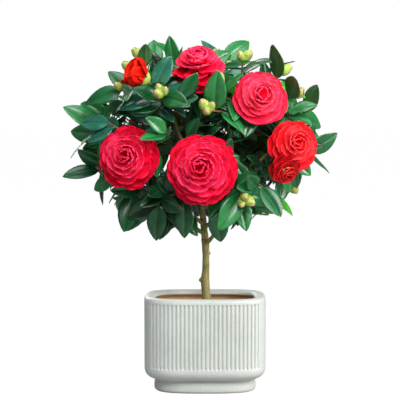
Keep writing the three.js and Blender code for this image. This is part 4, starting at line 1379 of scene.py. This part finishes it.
def tube(points, radii, sides):
    """Closed tube along points, with a radius at each."""
    points = np.array(points)
    ways = np.gradient(points, axis=0)
    side = side_of(unit(ways[0]) + [1e-4, 0, 0])
    rings = []
    angles = np.arange(sides) / sides * 2 * math.pi
    for point, way, radius in zip(points, ways, radii):
        way = unit(way)
        side = unit(side - way * (side @ way))
        other = np.cross(way, side)
        ring = np.outer(np.cos(angles), side) + np.outer(np.sin(angles), other)
        rings.append(point + radius * ring)
    faces = []
    for i in range(len(points) - 1):
        for j in range(sides):
            k = (j + 1) % sides
            faces.append((i * sides + j, i * sides + k, (i + 1) * sides + k, (i + 1) * sides + j))
    last = (len(points) - 1) * sides
    faces.append(tuple(reversed(range(sides))))
    faces.append(tuple(range(last, last + sides)))
    return np.concatenate(rings), faces


def grow_twig_piece(crown, foliage):
    joiner = Joiner()
    for shoot in crown.shoots + crown.side_twigs:
        steps = np.linspace(0, 1, TWIG_RINGS)
        draw = seeded(shoot.seed + TWIG_SHAPE_SEED)
        points = [shoot.curve_point(t) for t in steps]
        radii = [shoot.radius * (1.25 - 0.4 * t) * (0.93 + 0.14 * draw()) for t in steps]
        verts, faces = tube(points, radii, TWIG_SIDES)
        joiner.add(verts, faces, np.zeros(len(faces)))
    piece = joiner.build("twigs", [twig_material()])
    finish_piece(piece, "twigs", foliage)


def limb_curves():
    """Every limb as a spline of one curve, bevelled round, and turned to a mesh."""
    deselect()
    bpy.ops.curve.primitive_nurbs_path_add()
    piece = bpy.context.object
    curve = piece.data
    curve.splines.clear()
    curve.bevel_depth = 1
    curve.bevel_resolution = 4
    curve.use_fill_caps = True
    limbs = [
        (trunk_point, trunk_radius, SPLINE_STEPS["long"]),
        (leader_point, leader_radius, SPLINE_STEPS["long"]),
    ]
    for mass in MASS_LIST:
        if mass.has_bough:
            limbs.append((mass.bough_point, bough_radius, SPLINE_STEPS["bough"]))
        limbs.append((mass.smooth_stem_point, mass.stem_radius, SPLINE_STEPS["stem"]))
    for point_at, radius_at, steps in limbs:
        spline = curve.splines.new("POLY")
        spline.points.add(steps)
        for i, point in enumerate(spline.points):
            t = i / steps
            point.co = (*(point_at(t) * MM), 1)
            point.radius = radius_at(t) * LIMB_FULLNESS * MM
    bpy.ops.object.convert(target="MESH")
    return bpy.context.object


def add_stubs(piece):
    """Stubs of cut branches, joined to the limbs."""
    for height, heading, length, radius in STUBS:
        foot = trunk_point(trunk_share(height))
        way = np.array([math.cos(math.radians(heading)), math.sin(math.radians(heading)), 0])
        way = unit(way * math.cos(STUB_RISE) + UP * math.sin(STUB_RISE))
        deselect()
        bpy.ops.mesh.primitive_cone_add(
            vertices=STUB_SIDES,
            radius1=radius * 1.2 * MM,
            radius2=radius * 0.75 * MM,
            depth=length * MM,
            location=(foot + way * length * 0.5) * MM,
            rotation=Vector(way).to_track_quat("Z", "Y").to_euler(),
        )
        stub = bpy.context.object
        make_active(piece)
        stub.select_set(True)
        bpy.ops.object.join()


def add_flare(piece):
    """Root flare: lobes round the trunk that swell towards the soil."""
    for vertex in piece.data.vertices:
        height = vertex.co.z / MM
        flare = max(0, 1 - (height - SOIL_LEVEL) / FLARE_HEIGHT)
        if flare:
            across, depth, _ = trunk_at(height)
            centre = Vector((across * MM, depth * MM, vertex.co.z))
            away = vertex.co - centre
            angle = math.atan2(away.y, away.x)
            vertex.co = centre + away * (1 + FLARE_DEPTH * flare * math.cos(FLARE_LOBES * angle))


def make_limbs():
    """Trunk, leader and boughs as one skin: joined, remeshed, and given the bark's relief."""
    piece = limb_curves()
    add_stubs(piece)
    add_flare(piece)
    apply_modifier(piece, "REMESH", mode="VOXEL", voxel_size=BARK_VOXEL * MM)
    apply_modifier(piece, "SMOOTH", factor=0.5, iterations=5)
    add_relief(piece, "bark_lumps", 0.007, 0.0011, (1, 1, 2.5))
    add_relief(piece, "bark_cracks", 0.0016, 0.0007, (1, 1, 5))
    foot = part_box("trunk")[0].z
    for vertex in piece.data.vertices:
        vertex.co.z = max(vertex.co.z, foot)
    bpy.ops.object.shade_smooth()
    piece.data.materials.clear()
    piece.data.materials.append(bark_material())
    nodes = ["trunk", "leader", *(f"bough_{m.name}" for m in MASS_LIST if m.has_bough)]
    finish_piece(piece, "bark_of_trunk_and_boughs", nodes)


def displace(piece, name, pattern, size, strength, depth=0, **settings):
    """Moves a piece's skin in and out by a pattern."""
    texture = bpy.data.textures.new(name, pattern)
    texture.noise_scale = size
    if depth:
        texture.noise_depth = depth
    apply_modifier(piece, "DISPLACE", texture=texture, strength=strength, **settings)


def add_relief(piece, name, size, strength, stretch):
    """Relief by a cloud pattern, drawn out along the limbs' height."""
    bpy.ops.object.empty_add()
    ruler = bpy.context.object
    ruler.scale = stretch
    bpy.context.view_layer.update()
    coordinates = {"texture_coords": "OBJECT", "texture_coords_object": ruler}
    displace(piece, name, "CLOUDS", size, strength, 3, mid_level=0.5, **coordinates)
    bpy.data.objects.remove(ruler)


def pot_ring():
    """Places round the pot's body, close together at each groove, with the groove's depth."""
    angles = np.linspace(math.pi / 2, 0, 20001)
    x = POT_HALF_WIDTH * np.cos(angles) ** (2 / BODY_POWER)
    y = POT_HALF_DEPTH * np.sin(angles) ** (2 / BODY_POWER)
    x[0], y[-1] = 0, 0
    arc = np.concatenate([[0], np.cumsum(np.hypot(np.diff(x), np.diff(y)))])
    stations, depths = [], []
    for groove in range(GROOVES_A_SIDE + 1):
        for offset in GROOVE_OFFSETS:
            place = groove * GROOVE_PITCH + offset
            if place >= 0:
                stations.append(place)
                depths.append(max(1 - (abs(offset) / GROOVE_HALF_WIDTH) ** 2.4, 0) ** 0.8)
    steps = int((arc[-1] - stations[-1]) / SMOOTH_STEP)
    rest = np.linspace(stations[-1], arc[-1], steps + 1)[1:]
    stations = np.array(stations + list(rest))
    depths = np.array(depths + [0] * len(rest))
    x, y = np.interp(stations, arc, x), np.interp(stations, arc, y)
    quadrants = [
        (x, -y, depths),
        (x[-2::-1], y[-2::-1], depths[-2::-1]),
        (-x[1:], y[1:], depths[1:]),
        (-x[-2:0:-1], -y[-2:0:-1], depths[-2:0:-1]),
    ]
    return [np.concatenate(part) for part in zip(*quadrants)]


def quarter(start, end, steps):
    """Quarter of an ellipse between two profile points, leaving the first one level."""
    angles = np.linspace(0, math.pi / 2, steps + 1)
    return [
        (start[0] + (end[0] - start[0]) * math.sin(a), end[1] + (start[1] - end[1]) * math.cos(a))
        for a in angles
    ]


def depth_for(half_width):
    """Half depth of the pot's plan where its half width is given."""
    return half_width + DEPTH_LESS_WIDTH


def plan_sum(x, y, half_width):
    """Under 1 inside the pot's plan of a half width, 1 on it and over 1 outside."""
    return (abs(x) / half_width) ** BODY_POWER + (abs(y) / depth_for(half_width)) ** BODY_POWER


def extrude_rings(profile):
    """Extrudes the selected cap from ring to ring of a profile of half widths and heights."""
    (last_width, last_height), *rest = profile
    for width, height in rest:
        bpy.ops.mesh.extrude_region_move(
            TRANSFORM_OT_translate={"value": (0, 0, (height - last_height) * MM)}
        )
        if abs(width - last_width) > 1e-9:
            bpy.ops.transform.resize(
                value=(width / last_width, depth_for(width) / depth_for(last_width), 1),
                center_override=(0, 0, height * MM),
            )
        last_width, last_height = width, height


def start_ring(x, y, width, height):
    """Filled ring of the pot's plan at a half width and height, with its cap selected."""
    deselect()
    bpy.ops.mesh.primitive_circle_add(vertices=len(x), radius=1, fill_type="NGON")
    piece = bpy.context.object
    scale = width / POT_HALF_WIDTH, depth_for(width) / POT_HALF_DEPTH
    for vertex, across, depth in zip(piece.data.vertices, x, y):
        vertex.co = (across * scale[0] * MM, depth * scale[1] * MM, height * MM)
    bpy.ops.object.mode_set(mode="EDIT")
    bpy.ops.mesh.select_mode(type="FACE")
    bpy.ops.mesh.select_all(action="SELECT")
    return piece


def ringed_body(x, y, profile):
    """Closed body of rings of the pot's plan, from a profile of half widths and heights."""
    piece = start_ring(x, y, *profile[0])
    extrude_rings(profile)
    bpy.ops.mesh.select_all(action="SELECT")
    bpy.ops.mesh.normals_make_consistent(inside=False)
    bpy.ops.object.mode_set(mode="OBJECT")
    return piece


def make_pot():
    """The pot, glazed outside and over its lip, and bare clay in its cavity and under its foot."""
    x, y, depths = pot_ring()
    inner = POT_HALF_WIDTH - LIP_WIDTH
    cavity = POT_HALF_WIDTH - WALL
    lip_bottom = POT_HEIGHT - LIP_DEPTH
    foot = FOOT_HALF_WIDTH
    profile = [(foot - FOOT_EDGE, 0)]
    profile += quarter((foot - FOOT_EDGE, 0), (foot, FOOT_EDGE * 1.3), 6)[1:]
    profile += [(foot, 12), (foot - 1, 20)]
    profile += quarter((foot - 2, FOOT_HEIGHT), (POT_HALF_WIDTH, BELLY_HEIGHT), 14)
    middle = np.linspace(GROOVE_BOTTOM + 10, GROOVE_TOP - 10, 14)
    heights = [GROOVE_BOTTOM - 1, *(GROOVE_BOTTOM + end for end in GROOVE_ENDS), *middle]
    heights += [*(GROOVE_TOP - end for end in reversed(GROOVE_ENDS)), GROOVE_TOP + 1]
    profile += [(POT_HALF_WIDTH, h) for h in heights]
    profile += [
        (
            POT_HALF_WIDTH - LIP_ROUND + LIP_ROUND * math.cos(a),
            POT_HEIGHT - LIP_ROUND_HEIGHT + LIP_ROUND_HEIGHT * math.sin(a),
        )
        for a in np.linspace(0, math.pi / 2, 9)
    ]
    profile += [(inner + 8, POT_HEIGHT - LIP_CROWN)]
    profile += [
        (inner + 6.4 - 6.4 * math.sin(a), POT_HEIGHT - 6.8 + 6.0 * math.cos(a))
        for a in np.linspace(0.1, math.pi / 2, 8)
    ]
    profile += [(inner + 0.5, lip_bottom + 1), (inner + 2.5, lip_bottom - 0.4)]
    profile += [(cavity - 3, lip_bottom - 2.6), (cavity, lip_bottom - 6)]
    profile += [(cavity, h) for h in CAVITY_LEVELS]
    profile += [(cavity - CAVITY_ROUND, CAVITY_FLOOR)]
    piece = ringed_body(x, y, profile)
    shape_pot(piece, depths)
    piece.data.materials.append(glaze_material())
    piece.data.materials.append(clay_material())
    for face in piece.data.polygons:
        z = face.center.z / MM
        under_lip = CAVITY_FLOOR - 1 < z < lip_bottom + 0.5
        inside = plan_sum(face.center.x / MM, face.center.y / MM, cavity + 1) < 1
        face.material_index = int((under_lip and inside) or z < BARE_FOOT)
    make_active(piece)
    bpy.ops.object.shade_smooth_by_angle(angle=math.radians(50))
    finish_piece(piece, "ribbed_pot", ["pot"])


def shape_pot(piece, depths):
    """Sinks the grooves into the wall, and rounds the foot's corners more than the body's."""
    for vertex in piece.data.vertices:
        x, y, z = (value / MM for value in vertex.co)
        share = depths[vertex.index % len(depths)]
        on_wall = abs(plan_sum(x, y, POT_HALF_WIDTH) - 1) < 1e-3
        if on_wall and GROOVE_BOTTOM <= z <= GROOVE_TOP and share > 0:
            end = min(z - GROOVE_BOTTOM, GROOVE_TOP - z)
            sink = GROOVE_DEPTH * share * min(end / GROOVE_FADE, 1) ** 0.6
            slope = (
                np.sign(x) * (abs(x) / POT_HALF_WIDTH) ** (BODY_POWER - 1) / POT_HALF_WIDTH,
                np.sign(y) * (abs(y) / POT_HALF_DEPTH) ** (BODY_POWER - 1) / POT_HALF_DEPTH,
            )
            norm = math.hypot(*slope)
            vertex.co.x -= slope[0] / norm * sink * MM
            vertex.co.y -= slope[1] / norm * sink * MM
        elif z < FOOT_HEIGHT - 1:
            for axis, value, half in ((0, x, FOOT_HALF_WIDTH), (1, y, depth_for(FOOT_HALF_WIDTH))):
                rounded = half * (abs(value) / half) ** (BODY_POWER / FOOT_POWER)
                vertex.co[axis] = math.copysign(rounded, value) * MM


def make_soil():
    """Potting soil: a filled body with a lumpy, crumbly top."""
    x, y, _ = pot_ring()
    cavity = POT_HALF_WIDTH - WALL - GAP
    edge = SOIL_LEVEL - SOIL_EDGE_DROP
    profile = [
        (cavity - CAVITY_ROUND, CAVITY_FLOOR + GAP),
        (cavity, CAVITY_FLOOR + CAVITY_ROUND + GAP),
        (cavity, 100),
        (cavity, edge),
    ]
    profile += [
        (cavity - SOIL_RING_STEP * i, edge + SOIL_RISE * min(i / 4, 1))
        for i in range(1, SOIL_RINGS + 1)
    ]
    piece = ringed_body(x[::3], y[::3], profile)
    top = piece.vertex_groups.new(name="top")
    top.add([v.index for v in piece.data.vertices if v.co.z > SOIL_TOP_FROM * MM], 1, "REPLACE")
    piece.data.materials.append(soil_material("damp_soil", "2c2018", "54402e"))
    settings = {"texture_coords": "LOCAL", "direction": "Z", "vertex_group": "top"}
    for name, size, strength in (("soil_lumps", 0.016, 0.0045), ("soil_crumbs", 0.004, 0.0025)):
        displace(piece, name, "CLOUDS", size, strength, mid_level=0.75, **settings)
    bpy.ops.object.shade_smooth()
    finish_piece(piece, "potting_soil", ["soil"])


def make_crumbs():
    """Loose crumbs on the soil, clear of the trunk and of the pot's wall."""
    deselect()
    bpy.ops.mesh.primitive_ico_sphere_add(subdivisions=2, radius=1)
    crumb = bpy.context.object
    displace(crumb, "crumb", "VORONOI", 1.1, 0.8, texture_coords="LOCAL")
    points, faces, slots = mesh_arrays(crumb)
    joiner = Joiner()
    draw = seeded(CRUMB_SEED)
    cavity = POT_HALF_WIDTH - WALL - GAP
    for _ in range(CRUMBS):
        across, depth = 2 * draw() - 1, 2 * draw() - 1
        # The last draw isn't used; it keeps the order of the draws
        size, turn, _ = CRUMB_SIZES[0] + CRUMB_SIZES[1] * draw() ** 2, 7 * draw(), draw()
        if abs(across) ** BODY_POWER + abs(depth) ** BODY_POWER > 0.9:
            continue
        level = SOIL_LEVEL - CRUMB_SINK
        spot = np.array([across * cavity, depth * depth_for(cavity), level])
        if math.hypot(spot[0] - TRUNK[0][1], spot[1]) < CRUMB_ROOM:
            continue
        spin = np.array(Matrix.Rotation(turn, 3, Vector((1, turn, 2)).normalized()))
        joiner.add(points @ spin * size + spot, faces, slots)
    crumbs = joiner.build("soil_crumbs", [soil_material("dry_crumbs", "3a2c20", "6b563f")])
    finish_piece(crumbs, "soil_crumbs", [])


def petal_half_width(u):
    """Half width of a petal along its length: narrow at its foot, broad and rounded at its end."""
    body = 0.1 + 0.32 * math.sin(min(u / PETAL_BROADEST, 1) * math.pi / 2) ** 1.2
    if u > PETAL_BROADEST:
        body *= max(1 - ((u - PETAL_BROADEST) / 0.342) ** 2, 0) ** 0.5
    return max(body, 0.02)


def petal_lift(x, share):
    """Cupped across."""
    return 0.1 * share**2 * min(x * 2.2, 1)


def petal_template(rows, columns):
    """A petal, notched a little at its tip, with painted shade at its foot and a painted highlight
    at its edge.
    """
    piece = blade_template(
        rows, columns, petal_half_width, petal_lift, PETAL_SHEET, PETAL_CROWDING
    )
    for vertex in piece.data.vertices:
        half = petal_half_width(clamp(vertex.co.x))
        share = abs(vertex.co.y) / half if half > 0.05 else 0
        vertex.co.x -= 0.03 * max((vertex.co.x - 0.7) / 0.3, 0) * math.exp(-((share / 0.35) ** 2))
    for face in piece.data.polygons:
        # The darker slot at the foot is painted shade between layers; the lighter slot at the edge
        # is a painted highlight
        face.material_index = sum(face.center.x > bound for bound in PETAL_SHADE_AND_LIGHT_STEPS)
    return mesh_arrays(piece)


def bloom_petals(joiner, template, cargo, look, seed):
    """Petals of one bloom, spiralling in from broad flat ones to a small upright middle."""
    points, faces, painted_shades = template
    _, centre, axis, radius, _, back = cargo
    outer, inner, ease, drift_share, turn_up, petals, fullness, size = look
    draw = seeded(seed)
    radius = radius * size
    along = np.clip(points[:, 0], 0, 1)
    axis = unit(axis + UP * turn_up)
    sides = sides_of(axis)
    drift = sides[0] * drift_share[0] + sides[1] * drift_share[1]
    for k in range(petals):
        s = max(k / (petals - 1) - FIRST_RING, 0) / (1 - FIRST_RING)
        angle = k * GOLDEN_TURN + 0.35 * (draw() - 0.5)
        mean = math.radians(outer + (inner - outer) * s**ease)
        mean += 0.12 * (draw() - 0.5)
        curl = PETAL_CURL[0] + PETAL_CURL[1] * s + PETAL_CURL[2] * (draw() - 0.5)
        curl = math.radians(curl)
        length = radius * (PETAL_LENGTH[0] - PETAL_LENGTH[1] * s) * (0.95 + 0.1 * draw())
        width = length * fullness * (0.92 + 0.08 * s)
        out = spoke(sides, angle)
        across = np.cross(axis, out)
        base = centre - axis * back * (PETAL_RISE[0] - PETAL_RISE[1] * s) + drift * radius * s
        bend = mean + curl * (along - 0.5)
        lean = mean + curl * (along / 2 - 0.5)
        ruffle = 0.02 * np.sin(points[:, 1] * 11 + 7 * draw()) * along**2
        lift = points[:, 2] * (0.5 + 0.9 * s) + ruffle + PETAL_OVERLAP * points[:, 1]
        radial = along * np.cos(lean) * length - lift * np.sin(bend) * length
        height = along * np.sin(lean) * length + lift * np.cos(bend) * length
        shape = base + np.outer(radial, out) + np.outer(height, axis)
        shape = shape + np.outer(points[:, 1] * width, across)
        # Paler inner rings are partly painted light; the darker heart is painted shade
        light_and_shade_zone = sum(s > bound for bound in PALER_AND_LIT_FROM) - (s > SHADED_HEART_FROM)
        joiner.add(shape, faces, painted_shades + light_and_shade_zone)


def half_open_cargo(crown):
    """The half-open bloom as a funnel of petals from the tip of its twig."""
    shoot = next(shoot for shoot in crown.shoots if shoot.kind == "half_open")
    axis = unit(np.array(HALF_OPEN_AXIS))
    return "bloom", shoot.tip + axis * HALF_OPEN_FOOT, axis, shoot.size, 0, 0


def calyx(joiner, template, cargo):
    """Small overlapping bracts behind a bloom."""
    points, faces, _ = template
    _, centre, axis, _, _, back = cargo
    sides = sides_of(axis)
    u = points[:, 0]
    bend = CALYX_TILT + 0.9 * u
    for k in range(CALYX_BRACTS):
        length = CALYX_LENGTH * (0.7 + 0.04 * k)
        out = spoke(sides, k * GOLDEN_TURN)
        across = np.cross(axis, out)
        base = centre - axis * back * 0.95 + out * 1.5
        radial = u * np.cos(bend) * length
        height = u * np.sin(bend) * length + points[:, 2] * length
        shape = base + np.outer(radial, out) + np.outer(height, axis)
        shape += np.outer(points[:, 1] * length * 1.2, across)
        joiner.add(shape, faces, np.zeros(len(faces)))


def make_blooms(crown, foliage):
    """Blooms by tone; gives the bract's shape and the joiner that holds the calyxes."""
    petal, bract = petal_template(*PETAL_GRID), petal_template(*BRACT_GRID)
    joiners = {tone: Joiner() for tone in REDS}
    green = Joiner()
    behind = 0
    for shoot in crown.shoots:
        if shoot.kind != "bloom":
            continue
        cargo = shoot.cargo()[0]
        number = shoot.seed - 1
        if number < len(FRONT_BLOOMS):
            tone, look = FRONT_BLOOMS[number]
        else:
            tone, look = BACK_BLOOMS[behind % len(BACK_BLOOMS)]
            behind += 1
        bloom_petals(joiners[tone], petal, cargo, LOOKS[look], BLOOM_SEED + number)
        calyx(green, bract, cargo)
    hanging = crown.hanging.cargo()[0]
    bloom_petals(joiners["blood"], petal, hanging, LOOKS["hanging"], HANGING_PETAL_SEED)
    calyx(green, bract, hanging)
    funnel = half_open_cargo(crown)
    bloom_petals(joiners["ember"], petal, funnel, LOOKS["half_open"], HALF_OPEN_SEED)
    for tone, joiner in joiners.items():
        reds = REDS[tone]
        materials = [
            petal_material(f"petal_{tone}_{i + 1}", low, high)
            for i, (low, high) in enumerate(zip(reds, reds[1:] + reds[-1:]))
        ]
        piece = joiner.build(f"blooms_{tone}", materials)
        finish_piece(piece, f"blooms_{tone}", foliage)
    return bract, green


def egg_template():
    """Smooth egg from -0.45 to 0.55 along Z, and one across."""
    deselect()
    bpy.ops.mesh.primitive_uv_sphere_add(segments=12, ring_count=9, radius=EGG_HALF)
    egg = bpy.context.object
    bpy.ops.object.mode_set(mode="EDIT")
    bpy.ops.mesh.select_all(action="SELECT")
    bpy.ops.transform.translate(value=(0, 0, EGG_MIDDLE))
    bpy.ops.object.mode_set(mode="OBJECT")
    return mesh_arrays(egg)


def egg_taper(z):
    """How much an egg is drawn in towards its point, from a round one."""
    return 1 - EGG_POINT * np.clip((z - EGG_MIDDLE) / EGG_HALF, 0, 1) ** 2


def egg_girth(z):
    """Share of an egg's full girth at a height from -0.45 at its foot to 0.55 at its point."""
    return np.sqrt(np.clip(1 - ((z - EGG_MIDDLE) / EGG_HALF) ** 2, 0.002, 1)) * egg_taper(z)


def add_bud(joiner, egg, template, cargo, seed, tiers, flare=0.0):
    """A bud: an egg under tiers of overlapping bracts or petals, whose tips may flare out."""
    _, centre, axis, radius, front, back = cargo
    length = front + back
    sides = sides_of(axis)
    draw = seeded(seed)
    points, faces, _ = egg
    body = points.copy()
    body[:, :2] *= (egg_taper(points[:, 2]) * 2 * radius * 0.9)[:, None]
    body[:, 2] *= length * 0.97
    tip = np.array([np.mean([points[i][2] for i in face]) > 0.42 for face in faces])
    joiner.add(centre + body @ np.stack([*sides, axis]), faces, np.where(tip, 1, 0))
    blade, blade_faces, _ = template
    end = np.array([np.mean([blade[i][0] for i in face]) > 0.9 for face in blade_faces])
    along = np.clip(blade[:, 0], 0, 1)
    first = draw() * 2 * math.pi
    for level, (start, reach, count) in enumerate(tiers):
        for j in range(count):
            angle = first + (j + 0.5 * level) * 2 * math.pi / count + 0.3 * (draw() - 0.5)
            out = spoke(sides, angle)
            across = np.cross(axis, out)
            z = start - EGG_BACK + (reach - start) * along
            layer = 0.99 - 0.035 * level + 0.03 * (1 - np.abs(blade[:, 1]) / 0.45)
            girth = radius * (egg_girth(z) * layer + 0.035 + flare * along**3 * (1 + draw()))
            spread = blade[:, 1] * (2.6 if count > 2 else 3.4)
            ring = (girth + blade[:, 2] * radius * 0.5)[:, None]
            shape = centre + np.outer(np.cos(spread), out) * ring
            shape = shape + np.outer(np.sin(spread), across) * ring + np.outer(z * length, axis)
            joiner.add(shape, blade_faces, np.where(end, 1, 0))


def make_buds(crown, bract, joiner, foliage):
    """Buds, and the cup of the half-open bloom, in one piece with the calyxes."""
    egg = egg_template()
    for number, cargo in enumerate(crown.cargo):
        if cargo[0] == "bud":
            add_bud(joiner, egg, bract, cargo, BUD_SHAPE_SEED + number, BUD_TIERS)
    _, foot, axis, *_ = half_open_cargo(crown)
    cup = HALF_OPEN_CUP
    cargo = ("bud", foot + axis * cup["rise"], axis, cup["radius"], cup["front"], cup["back"])
    add_bud(joiner, egg, bract, cargo, cup["seed"], HALF_OPEN_TIERS, cup["flare"])
    bract_green = plain_plant_material("bract_green", "8fae38", "bcd062", 0.42, 160)
    bract_tip = plain_plant_material("bract_tip", "b0a45c", "d6b894", 0.5, 160)
    piece = joiner.build("buds", [bract_green, bract_tip])
    finish_piece(piece, "buds", foliage)


def make_camera():
    data = bpy.data.cameras.new("camera")
    data.lens = CAMERA_LENS
    data.sensor_width = CAMERA_SENSOR
    data.clip_end = CAMERA_REACH
    camera = bpy.data.objects.new("camera", data)
    camera.location = CAMERA_PLACE
    camera.rotation_euler = (math.radians(90 - CAMERA_DOWN), 0, 0)
    bpy.context.scene.collection.objects.link(camera)
    bpy.context.scene.camera = camera


def add_lamp(name, place, target, size, power, tint):
    data = bpy.data.lights.new(name, "AREA")
    data.shape = "RECTANGLE"
    data.size, data.size_y = size
    data.energy = power
    data.color = tint
    light = bpy.data.objects.new(name, data)
    light.location = place
    light.rotation_euler = (Vector(target) - Vector(place)).to_track_quat("-Z", "Y").to_euler()
    bpy.context.scene.collection.objects.link(light)


def make_studio():
    """Wide floor, a world that is white to the camera, and the lamps."""
    deselect()
    bpy.ops.mesh.primitive_plane_add(size=FLOOR_SIZE, location=(0, 0, 0))
    floor = bpy.context.object
    s = Shader("pale_floor")
    tone = s.step(s.noise(3), 0.3, 0.7)
    matt = s.principled(Base_Color=s.blend(tone, *FLOOR_GREYS), Roughness=tone * 0.05 + 0.8)
    glow = s.out(s.node("ShaderNodeEmission", None, {"Color": WHITE, "Strength": FLOOR_GLOW}))
    floor.data.materials.append(s.finish(s.to_camera(FLOOR_WHITE, matt, glow)))
    floor.name = "floor"
    w = Shader("studio", is_world=True)
    dim = {"Color": WORLD_TINT, "Strength": WORLD_LIGHT}
    lit = w.out(w.node("ShaderNodeBackground", None, dim))
    seen = w.out(w.node("ShaderNodeBackground", None, {"Color": WHITE}))
    bpy.context.scene.world = w.finish(w.to_camera(1, lit, seen), "ShaderNodeOutputWorld")
    for lamp in LAMPS:
        add_lamp(*lamp)
    bpy.context.scene.view_settings.view_transform = "Standard"


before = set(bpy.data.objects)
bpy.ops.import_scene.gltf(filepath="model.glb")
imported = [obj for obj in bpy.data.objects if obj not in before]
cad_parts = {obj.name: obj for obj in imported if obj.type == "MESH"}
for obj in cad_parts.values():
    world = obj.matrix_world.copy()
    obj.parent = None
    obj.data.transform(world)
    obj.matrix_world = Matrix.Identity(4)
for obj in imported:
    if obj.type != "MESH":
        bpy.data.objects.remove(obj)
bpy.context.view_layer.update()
make_camera()
deselect()
crown = Crown()
foliage_nodes = [f"foliage_{mass.name}" for mass in MASS_LIST]
make_pot()
make_soil()
make_crumbs()
make_limbs()
grow_twig_piece(crown, foliage_nodes)
grow_leaf_pieces(crown, foliage_nodes)
bract_shape, calyx_joiner = make_blooms(crown, foliage_nodes)
make_buds(crown, bract_shape, calyx_joiner, foliage_nodes)
make_studio()
deselect()
